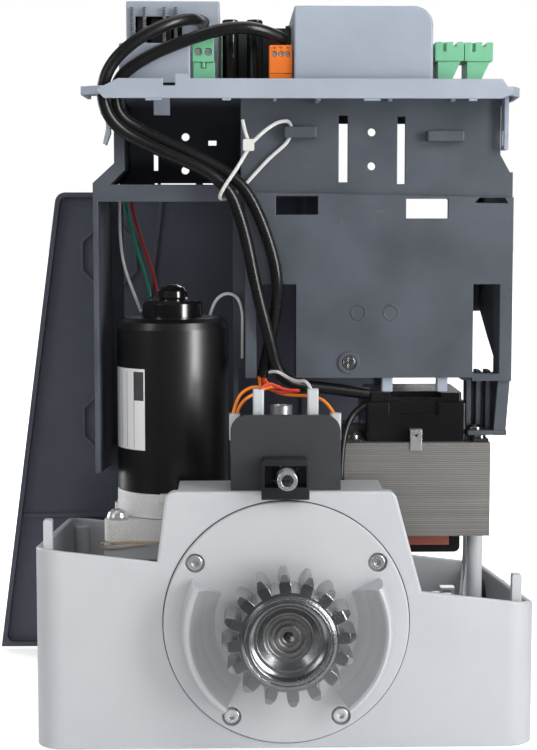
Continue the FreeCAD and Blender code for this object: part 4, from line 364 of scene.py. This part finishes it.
# The part's finishes
looks = {
    "lightCasting": {  # painted casting of the base
        "color": (0.505, 0.520, 0.545), "second": (0.540, 0.553, 0.578), "edgeColor": (0.80, 0.81, 0.83),
        "edge": 0.8, "rough": (0.34, 0.46), "grain": 700.0, "pits": 0.15, "bump": 0.16, "dust": 0.10,
        "scuffs": 0.10, "scuffColor": (0.40, 0.40, 0.41), "coat": 0.10, "coatRough": 0.3},
    "coverCasting": {  # gearbox cover and release bush
        "color": (0.520, 0.530, 0.556), "second": (0.548, 0.556, 0.580), "edgeColor": (0.78, 0.79, 0.81),
        "edge": 0.8, "rough": (0.38, 0.50), "grain": 800.0, "pits": 0.2, "bump": 0.2, "dust": 0.08,
        "scuffs": 0.12, "scuffColor": (0.38, 0.38, 0.39)},
    "darkMoulding": {  # electronics frame
        "color": (0.053, 0.063, 0.080), "second": (0.074, 0.085, 0.107),
        "edgeColor": (0.17, 0.185, 0.21), "edge": 0.5, "rough": (0.42, 0.56), "grain": 1400.0,
        "pits": 0.1, "bump": 0.28, "dust": 0.10, "scuffs": 0.30, "scuffColor": (0.22, 0.23, 0.25),
        "drift": 26.0, "dustColor": (0.25, 0.25, 0.25)},
    "doorMoulding": {  # rear door
        "color": (0.070, 0.075, 0.103), "second": (0.083, 0.089, 0.120), "edgeColor": (0.16, 0.17, 0.20),
        "edge": 0.6, "rough": (0.40, 0.52), "grain": 1500.0, "pits": 0.1, "bump": 0.3, "dust": 0.06,
        "scuffs": 0.25, "scuffColor": (0.15, 0.16, 0.18), "dustColor": (0.2, 0.2, 0.2)},
    "trayMoulding": {  # control tray, its covers and the frame's pegs
        "color": (0.325, 0.367, 0.438), "second": (0.370, 0.412, 0.486), "edgeColor": (0.60, 0.64, 0.70),
        "edge": 0.45, "rough": (0.34, 0.46), "grain": 1200.0, "pits": 0.08, "bump": 0.2, "dust": 0.08,
        "scuffs": 0.12, "scuffColor": (0.6, 0.62, 0.66), "soft": 0.02},
    "blackGloss": {  # transformer bobbin
        "color": (0.0060, 0.0060, 0.0068), "second": (0.0095, 0.0095, 0.0105),
        "edgeColor": (0.06, 0.06, 0.065), "edge": 0.4, "rough": (0.20, 0.30), "grain": 1300.0,
        "bump": 0.10, "dust": 0.04, "scuffs": 0.15, "scuffColor": (0.05, 0.05, 0.05),
        "dustColor": (0.07, 0.07, 0.07)},
    "blackPaint": {  # painted steel can of the motor
        "color": (0.0032, 0.0032, 0.0036), "second": (0.0050, 0.0050, 0.0054),
        "edgeColor": (0.05, 0.05, 0.05), "edge": 0.3, "rough": (0.32, 0.40), "grain": 420.0, "pits": 0.0,
        "bump": 0.05, "bumpDepth": 0.00006, "dust": 0.02, "scuffs": 0.12,
        "scuffColor": (0.04, 0.04, 0.04), "coat": 0.9, "coatRough": 0.27,
        "dustColor": (0.06, 0.06, 0.06)},
    "canGloss": {  # motor cap and capacitor cans
        "color": (0.0040, 0.0040, 0.0044), "second": (0.0060, 0.0060, 0.0064),
        "edgeColor": (0.05, 0.05, 0.05), "edge": 0.2, "rough": (0.16, 0.22), "grain": 700.0, "pits": 0.0,
        "bump": 0.03, "bumpDepth": 0.00004, "dust": 0.02, "coat": 1.0, "coatRough": 0.08,
        "dustColor": (0.05, 0.05, 0.05)},
    "blackSatin": {  # gland, limit switch, relays
        "color": (0.015, 0.016, 0.018), "second": (0.023, 0.024, 0.027), "edgeColor": (0.12, 0.12, 0.13),
        "edge": 0.5, "rough": (0.36, 0.5), "grain": 1000.0, "bump": 0.25, "dust": 0.08, "scuffs": 0.15,
        "scuffColor": (0.10, 0.10, 0.10), "dustColor": (0.2, 0.2, 0.2)},
    "charcoalPlate": {  # limit plate and board divider
        "color": (0.034, 0.036, 0.042), "second": (0.044, 0.046, 0.053), "edgeColor": (0.13, 0.13, 0.14),
        "edge": 0.5, "rough": (0.44, 0.56), "grain": 1100.0, "bump": 0.3, "dust": 0.06, "scuffs": 0.15,
        "scuffColor": (0.10, 0.10, 0.11), "dustColor": (0.16, 0.16, 0.16)},
    "platedScrew": {  # bright steel: screws, tabs, spring, bearings, pins
        "color": (0.74, 0.76, 0.78), "second": (0.84, 0.86, 0.88), "edgeColor": (0.95, 0.95, 0.95),
        "edge": 0.6, "rough": (0.26, 0.38), "metal": 0.85, "grain": 1600.0, "bump": 0.2, "dust": 0.02,
        "dustColor": (0.3, 0.3, 0.3)},
    "sandCast": {  # motor's flange and plate, as cast
        "color": (0.74, 0.74, 0.735), "second": (0.84, 0.84, 0.835), "edgeColor": (0.86, 0.86, 0.85),
        "edge": 0.7, "rough": (0.36, 0.54), "metal": 0.2, "grain": 1500.0, "pits": 0.6, "bump": 0.7,
        "bumpDepth": 0.00022, "speckle": 0.4, "speckColor": (0.42, 0.42, 0.415), "dust": 0.05,
        "dustColor": (0.35, 0.34, 0.33)},
    "gearSteel": {  # cut steel of the pinion
        "color": (0.42, 0.43, 0.44), "second": (0.52, 0.53, 0.54), "third": (0.30, 0.31, 0.32),
        "edgeColor": (0.80, 0.80, 0.80), "edge": 0.7, "rough": (0.17, 0.27), "metal": 1.0,
        "grain": 1200.0, "bump": 0.07, "bumpDepth": 0.00004, "turned": 2200.0, "dust": 0.02,
        "scuffs": 0.2, "scuffColor": (0.7, 0.7, 0.7), "dustColor": (0.2, 0.2, 0.2)},
    "shaftSteel": {  # turned end of the output shaft
        "color": (0.20, 0.20, 0.20), "second": (0.28, 0.28, 0.28), "third": (0.42, 0.42, 0.41),
        "edgeColor": (0.75, 0.75, 0.74), "edge": 0.6, "rough": (0.22, 0.32), "metal": 1.0,
        "grain": 1300.0, "bump": 0.16, "bumpDepth": 0.00005, "turned": 1500.0, "dust": 0.02,
        "dustColor": (0.1, 0.1, 0.1)},
    "serratedMetal": {  # pins in the left cover's window; the dark gaps of their serrations are painted shade in the grooves
        "color": (0.30, 0.31, 0.31), "second": (0.22, 0.23, 0.23), "third": (0.42, 0.43, 0.43),
        "gapColor": (0.03, 0.03, 0.03), "edgeColor": (0.6, 0.6, 0.6), "rough": (0.3, 0.42), "metal": 0.8,
        "grain": 700.0, "bump": 0.8, "bumpDepth": 0.0004, "stack": 620.0, "dust": 0.05},
    "bronze": {  # worm wheel
        "color": (0.55, 0.36, 0.16), "second": (0.66, 0.45, 0.22), "third": (0.4, 0.26, 0.12),
        "edgeColor": (0.8, 0.6, 0.32), "rough": (0.2, 0.34), "metal": 1.0, "grain": 900.0,
        "turned": 2400.0, "dust": 0.02},
    "copper": {  # windings
        "color": (0.50, 0.22, 0.10), "second": (0.60, 0.28, 0.13), "edgeColor": (0.75, 0.40, 0.2),
        "rough": (0.22, 0.36), "metal": 0.9, "grain": 900.0, "dust": 0.02},
    "sheetCore": {  # transformer's stack of stamped sheets
        "color": (0.215, 0.21, 0.199), "second": (0.180, 0.176, 0.167), "third": (0.262, 0.256, 0.243),
        "gapColor": (0.022, 0.021, 0.020), "edgeColor": (0.42, 0.41, 0.39), "edge": 0.4,
        "rough": (0.36, 0.5), "metal": 0.35, "grain": 500.0, "bump": 0.6, "bumpDepth": 0.0002,
        "stack": 905.0, "dust": 0.04, "scuffs": 0.25, "scuffColor": (0.40, 0.39, 0.37),
        "scuffScale": 40.0},
    "tapeRed": {  # tape round the winding
        "color": (0.30, 0.075, 0.045), "second": (0.36, 0.10, 0.06), "rough": (0.3, 0.42),
        "grain": 500.0, "edgeColor": (0.42, 0.14, 0.09), "dust": 0.04},
    "gasketPaper": {  # paper under the motor plate
        "color": (0.44, 0.35, 0.21), "second": (0.52, 0.42, 0.27), "rough": (0.7, 0.85), "grain": 1100.0,
        "bump": 0.6, "edgeColor": (0.62, 0.53, 0.36), "dust": 0.05},
    "ferrite": {  # motor magnets
        "color": (0.02, 0.02, 0.02), "second": (0.03, 0.03, 0.03), "rough": (0.5, 0.6), "grain": 700.0},
    "palePlastic": {  # plug at the motor's foot
        "color": (0.62, 0.63, 0.60), "second": (0.70, 0.70, 0.67), "rough": (0.3, 0.42), "grain": 900.0,
        "edgeColor": (0.8, 0.8, 0.78), "soft": 0.1, "dust": 0.04},
    "clearNylon": {  # sleeves on the switch blades
        "color": (0.50, 0.53, 0.545), "second": (0.60, 0.63, 0.645), "rough": (0.26, 0.4),
        "grain": 700.0, "edgeColor": (0.74, 0.77, 0.79), "soft": 0.15, "bump": 0.12, "dust": 0.03},
    "tieNylon": {  # cable tie
        "color": (0.66, 0.66, 0.63), "second": (0.76, 0.76, 0.73), "rough": (0.28, 0.42), "grain": 900.0,
        "edgeColor": (0.85, 0.85, 0.83), "soft": 0.25, "bump": 0.15, "dust": 0.02},
    "greenPlastic": {  # plugs and headers
        "color": (0.175, 0.50, 0.285), "second": (0.215, 0.56, 0.335), "edgeColor": (0.42, 0.75, 0.53),
        "edge": 0.5, "rough": (0.28, 0.4), "grain": 1200.0, "soft": 0.05, "dust": 0.05},
    "orangePlastic": {  # three way terminal
        "color": (0.80, 0.16, 0.008), "second": (0.88, 0.20, 0.012), "edgeColor": (1.0, 0.5, 0.14),
        "edge": 0.5, "rough": (0.28, 0.4), "grain": 1200.0, "soft": 0.05, "dust": 0.03},
    "boardLaminate": {  # green circuit boards
        "color": (0.010, 0.060, 0.028), "second": (0.018, 0.085, 0.040), "edgeColor": (0.25, 0.27, 0.16),
        "edge": 0.8, "rough": (0.22, 0.34), "grain": 500.0, "bump": 0.4, "coat": 0.3, "dust": 0.06},
    "sealRubber": {  # shaft seal, and the painted shade in the cover's joint
        "color": (0.014, 0.014, 0.014), "second": (0.022, 0.022, 0.022), "rough": (0.5, 0.62),
        "grain": 1000.0, "edgeColor": (0.06, 0.06, 0.06), "dust": 0.08},
    "blackSheath": {  # cable sheaths
        "color": (0.0065, 0.0065, 0.0072), "second": (0.0105, 0.0105, 0.0116),
        "edgeColor": (0.02, 0.02, 0.02), "edge": 0.0, "rough": (0.24, 0.34), "grain": 900.0,
        "bump": 0.15, "dust": 0.04, "dustColor": (0.07, 0.07, 0.075), "scuffs": 0.15,
        "scuffColor": (0.06, 0.06, 0.065)},
    "redWire": {  # limit switch
        "color": (0.62, 0.040, 0.025), "second": (0.70, 0.06, 0.04), "edge": 0.0, "rough": (0.28, 0.38),
        "grain": 1400.0, "dust": 0.02},
    "darkRedWire": {  # motor
        "color": (0.36, 0.022, 0.020), "second": (0.43, 0.035, 0.03), "edge": 0.0, "rough": (0.28, 0.38),
        "grain": 1400.0, "dust": 0.02},
    "orangeWire": {  # limit switch
        "color": (0.90, 0.225, 0.018), "second": (0.98, 0.29, 0.03), "edge": 0.0, "rough": (0.26, 0.36),
        "grain": 1400.0, "dust": 0.02},
    "greenWire": {  # motor
        "color": (0.012, 0.21, 0.125), "second": (0.02, 0.27, 0.165), "edge": 0.0, "rough": (0.28, 0.38),
        "grain": 1400.0, "dust": 0.02},
    "whiteWire": {  # motor and limit switch
        "color": (0.66, 0.67, 0.68), "second": (0.76, 0.77, 0.78), "edge": 0.0, "rough": (0.28, 0.38),
        "grain": 1400.0, "dust": 0.02},
    "plateInk": {  # print on the rating plate
        "color": (0.05, 0.05, 0.055), "second": (0.07, 0.07, 0.075), "rough": (0.35, 0.45),
        "grain": 1600.0, "edge": 0.0, "dust": 0.02},
    "barePaper": {  # blank rating plate
        "color": (0.74, 0.745, 0.75), "second": (0.80, 0.80, 0.805), "edgeColor": (0.85, 0.85, 0.85),
        "edge": 0.2, "rough": (0.34, 0.44), "grain": 1600.0, "bump": 0.1, "dust": 0.03},
}
finishes = {name: surface(name, look) for name, look in looks.items()}
print("stage: finishes built,", len(finishes))

# Which finish each node of the part gets
nodeFinish = {
    "base_casting": "lightCasting", "gearbox_cover": "coverCasting", "cover_screws": "platedScrew",
    "shaft_seal": "sealRubber", "output_shaft": "shaftSteel", "rack_pinion": "gearSteel",
    "worm_wheel": "bronze", "worm_shaft": "platedScrew", "motor_rotor": "copper",
    "ball_bearings": "platedScrew", "motor_plate": "sandCast", "motor_gasket": "gasketPaper",
    "motor_bolts": "platedScrew", "motor_flange": "sandCast", "motor_can": "blackPaint",
    "motor_cap": "canGloss", "motor_magnets": "ferrite", "motor_plug": "palePlastic",
    "limit_bracket": "charcoalPlate", "limit_housing": "blackSatin", "limit_spring": "platedScrew",
    "limit_lever": "gearSteel", "limit_switches": "blackSatin", "terminal_sleeves": "clearNylon",
    "vent_spindle": "platedScrew", "release_lever": "blackSatin", "release_bush": "coverCasting",
    "transformer_core": "sheetCore", "transformer_bobbin": "blackGloss", "winding_tape": "tapeRed",
    "core_clamps": "blackSatin", "faston_blades": "platedScrew", "earth_clamp": "platedScrew",
    "cable_gland": "blackSatin", "electronics_frame": "darkMoulding", "locating_pegs": "trayMoulding",
    "frame_screws": "gearSteel", "control_tray": "trayMoulding", "left_cover": "trayMoulding",
    "heat_sink_pins": "serratedMetal", "board_relays": "blackSatin", "right_cover": "trayMoulding",
    "ring_inductor": "copper", "capacitors": "canGloss", "circuit_boards": "boardLaminate",
    "board_divider": "charcoalPlate", "orange_terminal": "orangePlastic",
    "terminal_screws": "platedScrew", "terminal_headers": "greenPlastic",
    "terminal_plugs": "greenPlastic", "supply_cable": "blackSheath", "signal_cable": "blackSheath",
    "transformer_lead": "blackSheath", "motor_wires": "whiteWire", "limit_wires": "orangeWire",
    "cable_tie": "tieNylon", "rear_door": "doorMoulding", "door_lock": "platedScrew",
    "hinge_pins": "platedScrew",
}
for name, finish in nodeFinish.items():
    obj = nodes[name]
    obj.data.materials.clear()
    obj.data.materials.append(finishes[finish])

print("stage: nodes dressed")

scene = bpy.context.scene


def addPiece(name, data, finish, body):
    obj = bpy.data.objects.new(name, data)
    scene.collection.objects.link(obj)
    data.materials.append(finishes[finish])
    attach(obj, body)
    return obj


def addMesh(name, vertices, faces, finish, body):
    mesh = bpy.data.meshes.new(name)
    mesh.from_pydata([tuple(v) for v in vertices], [], faces)
    mesh.validate()
    mesh.update()
    for polygon in mesh.polygons:
        polygon.use_smooth = False
    return addPiece(name, mesh, finish, body)


cordShape = {"order": 3, "stepsPerPoint": 10, "roundness": 5}


def lead(name, route, radius, finish):
    # One smooth line with the route's points as its control points
    curve = bpy.data.curves.new(name, "CURVE")
    curve.dimensions = "3D"
    spline = curve.splines.new("NURBS")
    spline.points.add(len(route) - 1)
    for point, spot in zip(spline.points, route):
        point.co = (*at(*spot), 1.0)
    spline.order_u = cordShape["order"]
    spline.use_endpoint_u = True
    spline.resolution_u = cordShape["stepsPerPoint"]
    curve.bevel_depth = radius * mm
    curve.bevel_resolution = cordShape["roundness"]
    curve.use_fill_caps = True
    return addPiece(name, curve, finish, "base")


# Cables and wires. Each route's points are listed here and are the same as in the solids.
supplyCable = {"radius": 3.5, "finish": "blackSheath", "route": [
    (-46.4, -34.8, 408.0), (-47.5, -52.0, 408.5), (-60.0, -66.0, 406.0), (-80.0, -71.0, 397.0),
    (-97.5, -71.0, 382.0), (-103.2, -70.0, 364.5), (-97.0, -67.0, 347.8), (-78.0, -62.5, 336.5),
    (-33.5, -61.5, 318.5), (-22.5, -60.5, 290.0), (-16.0, -58.5, 256.0), (-8.5, -55.0, 228.0),
    (-1.6, -47.5, 199.2), (28.6, -42.6, 196.0), (50.6, -40.2, 192.5)]}
signalCable = {"radius": 3.5, "finish": "blackSheath", "route": [
    (0.6, -50.6, 396.8), (-12.0, -61.0, 402.0), (-32.0, -65.0, 402.4), (-60.0, -64.5, 393.5),
    (-81.0, -64.0, 384.0), (-95.3, -64.0, 372.5), (-95.6, -60.5, 354.5), (-80.5, -56.2, 344.6),
    (-50.0, -55.6, 331.0), (-24.0, -55.6, 317.0), (-10.5, -56.4, 290.0), (-2.2, -57.6, 259.0),
    (-6.2, -45.6, 230.0), (-11.8, -44.2, 203.6)]}
sensorLead = {"radius": 1.9, "finish": "blackSheath", "route": [
    (49.2, -43.0, 186.6), (42.5, -48.5, 184.0), (36.0, -55.0, 174.0), (33.4, -59.5, 158.0),
    (33.0, -60.5, 136.0), (33.0, -60.5, 114.6)]}
sheaths = {"supplySheath": supplyCable, "signalSheath": signalCable, "sensorSheath": sensorLead}
for name, cable in sheaths.items():
    cable["object"] = lead(name, cable["route"], cable["radius"], cable["finish"])
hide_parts("supply_cable")
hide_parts("signal_cable")
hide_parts("transformer_lead")

motorWires = {
    "motorWireRed": ("darkRedWire", [(-92.0, 59.8, 315.9), (-92.0, 42.0, 315.9), (-91.9, 25.0, 315.9),
                                     (-91.6, 22.6, 302.0), (-86.6, 18.4, 286.0), (-81.2, 12.0, 272.0),
                                     (-76.2, 1.6, 258.0), (-74.4, -11.6, 248.6)]),
    "motorWireGreen": ("greenWire", [(-95.4, 59.8, 315.9), (-95.4, 42.0, 315.9), (-95.4, 25.0, 315.9),
                                     (-95.2, 22.2, 302.0), (-91.0, 18.0, 286.0), (-85.6, 10.8, 270.0),
                                     (-80.4, -3.0, 255.0), (-78.4, -16.8, 248.2)]),
    "motorWireWhite": ("whiteWire", [(-98.8, 59.8, 315.9), (-98.8, 42.0, 315.9), (-98.9, 25.0, 315.9),
                                     (-98.9, 21.0, 302.0), (-98.6, 17.2, 286.0), (-96.6, 12.0, 268.0),
                                     (-90.4, 3.0, 252.0), (-84.4, -8.0, 238.6)]),
    "motorWireLoop": ("whiteWire", [(-42.8, -24.6, 238.0), (-40.4, -24.4, 246.6), (-33.6, -23.6, 251.6),
                                    (-26.4, -22.6, 249.4), (-23.3, -21.9, 240.6), (-23.5, -21.7, 229.0),
                                    (-23.6, -21.7, 212.0)]),
}
limitWires = {
    "limitWireFar": ("orangeWire", [(-14.2, -44.6, 203.0), (-13.2, -52.4, 197.6), (-14.6, -61.0, 198.8),
                                    (-20.5, -71.0, 199.4), (-27.2, -79.0, 195.0), (-29.6, -81.2, 184.6)]),
    "limitWireNear": ("orangeWire", [(-11.4, -43.2, 202.3), (-8.2, -51.4, 197.8), (-0.8, -58.2, 198.0),
                                     (-6.0, -67.6, 200.4), (-17.5, -75.6, 196.6), (-25.6, -80.2, 191.6),
                                     (-27.4, -81.2, 184.6)]),
    "limitWireRight": ("orangeWire", [(-10.6, -45.2, 202.0), (-8.0, -51.0, 196.0), (2.0, -60.0, 193.8),
                                      (14.0, -70.0, 194.6), (23.6, -78.2, 193.0), (28.2, -81.2, 184.6)]),
    "limitWireRed": ("redWire", [(-12.4, -45.8, 202.2), (-10.4, -52.6, 197.2), (-2.0, -58.6, 195.0),
                                 (7.6, -62.6, 196.4), (8.6, -72.6, 198.0), (-0.6, -79.6, 198.8),
                                 (-11.6, -86.4, 205.2), (-15.3, -90.3, 197.6)]),
    "limitWireWhite": ("whiteWire", [(-8.0, -51.6, 206.4), (-4.4, -57.0, 208.0), (1.5, -62.0, 204.6),
                                     (7.0, -73.0, 203.0), (12.8, -85.6, 205.0), (15.3, -90.0, 197.4)]),
}
wireRadius = 0.95
for name, (finish, route) in motorWires.items():
    wire = lead(name, route, wireRadius, finish)
    if name == "motorWireRed":
        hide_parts("motor_wires")
for name, (finish, route) in limitWires.items():
    wire = lead(name, route, wireRadius, finish)
    if name == "limitWireFar":
        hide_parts("limit_wires")

print("stage: cables and wires laid")


# Blank rating plate on the motor can, bent to the can's round, with a dark band and thin rules.
# Angles run round the can from its front, heights are over the floor.
motorCan = {"x": -65.0, "y": -25.0, "skin": 33.21}
ratingPlate = {"fromDeg": -78.0, "toDeg": -27.5, "low": 161.0, "high": 208.5, "lift": 0.07,
               "finish": "barePaper"}
ratingBand = {"fromDeg": -41.0, "toDeg": -29.0, "low": 190.0, "high": 206.8, "lift": 0.10,
              "finish": "plateInk"}
ratingRules = {"starts": (-62.0, -52.0, -41.5), "wide": 0.5, "low": 162.4, "high": 206.8, "lift": 0.09,
               "finish": "plateInk"}


def bentPlate(name, look, fromDeg, toDeg):
    steps = 28
    inner = motorCan["skin"]
    outer = inner + look["lift"]
    corners = ((inner, look["low"]), (outer, look["low"]), (outer, look["high"]), (inner, look["high"]))
    points, faces = [], []
    for k in range(steps + 1):
        a = math.radians(fromDeg + (toDeg - fromDeg) * k / steps)
        for r, z in corners:
            points.append(at(motorCan["x"] + r * math.sin(a), motorCan["y"] - r * math.cos(a), z))
    for k in range(steps):
        for e in range(4):
            a, b = k * 4 + e, k * 4 + (e + 1) % 4
            faces.append((a, b, b + 4, a + 4))
    faces.append((0, 3, 2, 1))
    faces.append(tuple(steps * 4 + e for e in range(4)))
    return addMesh(name, points, faces, look["finish"], "base")


for name, look in (("ratingPlate", ratingPlate), ("ratingBand", ratingBand)):
    bentPlate(name, look, look["fromDeg"], look["toDeg"])
for k, start in enumerate(ratingRules["starts"]):
    bentPlate("ratingRule" + str(k), ratingRules, start, start + ratingRules["wide"])


# The gasket's loose end, which curls out in front of its seat
gasketEnd = {"thick": 0.5, "near": -64.1, "far": -62.3, "line": [
    (-78.0, 107.75), (-86.0, 107.2), (-94.0, 105.7), (-101.0, 105.1), (-105.4, 105.9), (-106.3, 107.6),
    (-104.4, 108.9), (-100.0, 108.9), (-96.5, 108.3)]}


def roundedLine(points, rounds=3):
    # Cuts the corners of a line until it runs smooth
    for _ in range(rounds):
        cut = [points[0]]
        for (ax, az), (bx, bz) in zip(points, points[1:]):
            cut.append((0.75 * ax + 0.25 * bx, 0.75 * az + 0.25 * bz))
            cut.append((0.25 * ax + 0.75 * bx, 0.25 * az + 0.75 * bz))
        cut.append(points[-1])
        points = cut
    return points


def ribbon(name, look, finish, body):
    line = roundedLine(look["line"])
    half = look["thick"] / 2
    sides = ((1, look["near"]), (1, look["far"]), (-1, look["far"]), (-1, look["near"]))
    points, faces = [], []
    for k, (x, z) in enumerate(line):
        ax, az = line[max(k - 1, 0)]
        bx, bz = line[min(k + 1, len(line) - 1)]
        size = math.hypot(bx - ax, bz - az)
        nx, nz = -(bz - az) / size * half, (bx - ax) / size * half
        for side, y in sides:
            points.append(at(x + side * nx, y, z + side * nz))
    for k in range(len(line) - 1):
        for e in range(4):
            f = (e + 1) % 4
            faces.append((k * 4 + e, k * 4 + f, k * 4 + f + 4, k * 4 + e + 4))
    last = (len(line) - 1) * 4
    faces.append((0, 3, 2, 1))
    faces.append((last, last + 1, last + 2, last + 3))
    return addMesh(name, points, faces, finish, body)


ribbon("gasketEnd", gasketEnd, "gasketPaper", "base")


# Painted shade in the joint round the gearbox cover: a thin dark washer that faces the pinion side
coverJointShade = {"inner": 68.42, "outer": 68.95, "front": -105.12, "depth": 0.5, "steps": 128}


def flatRing(name, look, finish, body):
    front, back = look["front"], look["front"] + look["depth"]
    corners = ((look["inner"], front), (look["outer"], front), (look["outer"], back), (look["inner"], back))
    steps = look["steps"]
    points, faces = [], []
    for k in range(steps):
        a = 2 * math.pi * k / steps
        for r, y in corners:
            points.append(at(r * math.cos(a), y, shaftHeight + r * math.sin(a)))
    for k in range(steps):
        n = (k + 1) % steps
        for e in range(4):
            f = (e + 1) % 4
            faces.append((k * 4 + e, k * 4 + f, n * 4 + f, n * 4 + e))
    return addMesh(name, points, faces, finish, body)


flatRing("coverJointShade", coverJointShade, "sealRubber", "base")
print("stage: small pieces added")


# Camera: places in metres, turns in degrees, lens and sensor in mm
view = {"place": (-0.032, -0.995, 0.294), "down": 5.4, "right": 1.42, "lens": 78.288, "sensor": 36.0,
        "nearest": 0.01, "farthest": 50.0}
camera = bpy.data.cameras.new("viewCamera")
camera.sensor_width = view["sensor"]
camera.lens = view["lens"]
camera.clip_start = view["nearest"]
camera.clip_end = view["farthest"]
cameraObject = bpy.data.objects.new("viewCamera", camera)
cameraObject.location = view["place"]
cameraObject.rotation_euler = (math.radians(90 - view["down"]), 0.0, math.radians(-view["right"]))
scene.collection.objects.link(cameraObject)
scene.camera = cameraObject
scene.view_settings.view_transform = "Standard"

# White stage: what the camera sees, what lights the part, and what its glossy faces mirror
backdropLight = {"seen": 1.0, "ambient": 0.40, "mirrored": 0.13, "mirroredTint": (0.96, 0.98, 1.0)}
white = (1.0, 1.0, 1.0)


def backgroundNode(tree, color, strength):
    node = tree.nodes.new("ShaderNodeBackground")
    node.inputs["Color"].default_value = (*color, 1.0)
    node.inputs["Strength"].default_value = strength
    return node.outputs[0]


def mixShaders(tree, mask, a, b):
    node = tree.nodes.new("ShaderNodeMixShader")
    link(tree, mask, node.inputs[0])
    link(tree, a, node.inputs[1])
    link(tree, b, node.inputs[2])
    return node.outputs[0]


def paleStage():
    world = bpy.data.worlds.new("paleWorld")
    scene.world = world
    world.use_nodes = True
    tree = world.node_tree
    tree.nodes.clear()
    out = tree.nodes.new("ShaderNodeOutputWorld")
    ambient = backgroundNode(tree, white, backdropLight["ambient"])
    backdrop = backgroundNode(tree, white, backdropLight["seen"])
    dim = backgroundNode(tree, backdropLight["mirroredTint"], backdropLight["mirrored"])
    path = tree.nodes.new("ShaderNodeLightPath")
    lit = mixShaders(tree, path.outputs["Is Glossy Ray"], ambient, dim)
    seen = mathNode(tree, "MAXIMUM", path.outputs["Is Camera Ray"], path.outputs["Is Transmission Ray"])
    link(tree, mixShaders(tree, seen, lit, backdrop), out.inputs[0])


# The floor keeps the part's shadow and turns white away from it. In glossy faces it is dark far off.
floorLook = {"half": 14.0, "drop": 0.3 * mm, "color": (0.80, 0.80, 0.80), "mirrored": (0.07, 0.07, 0.07),
             "rough": 0.9, "specular": 0.1, "glowNear": 0.22, "glowFar": 0.60, "glowLow": 0.55,
             "glowHigh": 1.0, "darkNear": 0.23, "darkFar": 0.40}


def paleFloor(look):
    mesh = bpy.data.meshes.new("floor")
    r = look["half"]
    mesh.from_pydata([(-r, -r, 0), (r, -r, 0), (r, r, 0), (-r, r, 0)], [], [(0, 1, 2, 3)])
    floor = bpy.data.objects.new("floor", mesh)
    floor.location = (0, 0, -look["drop"])
    scene.collection.objects.link(floor)
    mat = bpy.data.materials.new("paleFloor")
    mat.use_nodes = True
    tree = mat.node_tree
    shader = tree.nodes["Principled BSDF"]
    shader.inputs["Roughness"].default_value = look["rough"]
    shader.inputs["Specular IOR Level"].default_value = look["specular"]
    glow = tree.nodes.new("ShaderNodeEmission")
    glow.inputs["Color"].default_value = (*white, 1.0)
    path = tree.nodes.new("ShaderNodeLightPath")
    away = tree.nodes.new("ShaderNodeVectorMath")
    away.operation = "LENGTH"
    link(tree, objectCoords(tree), away.inputs[0])
    distance = away.outputs["Value"]
    fade = stretch(tree, distance, look["glowNear"], look["glowFar"], look["glowLow"], look["glowHigh"])
    link(tree, mathNode(tree, "MULTIPLY", path.outputs["Is Camera Ray"], fade), glow.inputs["Strength"])
    far = stretch(tree, distance, look["darkNear"], look["darkFar"])
    unlit = mathNode(tree, "MULTIPLY", path.outputs["Is Glossy Ray"], far)
    link(tree, blendColor(tree, unlit, look["color"], look["mirrored"]), shader.inputs["Base Color"])
    total = tree.nodes.new("ShaderNodeAddShader")
    link(tree, shader.outputs[0], total.inputs[0])
    link(tree, glow.outputs[0], total.inputs[1])
    link(tree, total.outputs[0], tree.nodes["Material Output"].inputs["Surface"])
    mesh.materials.append(mat)


# Soft boxes. Unmirrored ones light the part without a bright patch on the metal, and one that
# doesn't light is seen in glossy faces alone.
softBoxes = {
    "rightBox": {"at": (0.97, -0.90, 0.50), "aim": (-0.02, 0.0, 0.20), "size": (0.48, 1.1), "power": 11.5},
    "sheenBox": {"at": (0.93, -0.96, 0.50), "aim": (-0.06, 0.0, 0.20), "size": (0.30, 1.1), "power": 10.0,
                 "lights": False},
    "leftBox": {"at": (-1.25, -0.95, 0.85), "aim": (0.0, 0.0, 0.20), "size": (0.35, 0.9), "power": 2.8},
    "frontBox": {"at": (0.1, -1.7, 1.0), "aim": (0.0, 0.0, 0.15), "size": (1.4, 0.5), "power": 4.0,
                 "mirrored": False},
    "lowBox": {"at": (0.05, -1.35, 0.10), "aim": (0.0, -0.1, 0.03), "size": (1.0, 0.12), "power": 2.2,
               "mirrored": False},
    "topBox": {"at": (0.0, 0.15, 1.45), "aim": (0.0, 0.0, 0.2), "size": (1.2, 1.0), "power": 4.6},
    "rimBox": {"at": (-1.04, 0.68, 0.35), "aim": (-0.06, 0.0, 0.18), "size": (0.3, 0.8), "power": 6.0},
    "backBox": {"at": (0.4, 1.3, 0.9), "aim": (0.0, 0.0, 0.2), "size": (1.2, 0.8), "power": 7.0},
}


def softLamp(name, box):
    data = bpy.data.lights.new(name, "AREA")
    data.shape = "RECTANGLE"
    data.size, data.size_y = box["size"]
    data.energy = box["power"]
    lamp = bpy.data.objects.new(name, data)
    lamp.location = box["at"]
    lamp.visible_glossy = box.get("mirrored", True)
    lamp.visible_diffuse = box.get("lights", True)
    lamp.rotation_euler = (Vector(box["aim"]) - Vector(box["at"])).to_track_quat("-Z", "Y").to_euler()
    scene.collection.objects.link(lamp)


paleStage()
paleFloor(floorLook)
for name, box in softBoxes.items():
    softLamp(name, box)
print("stage: studio set")
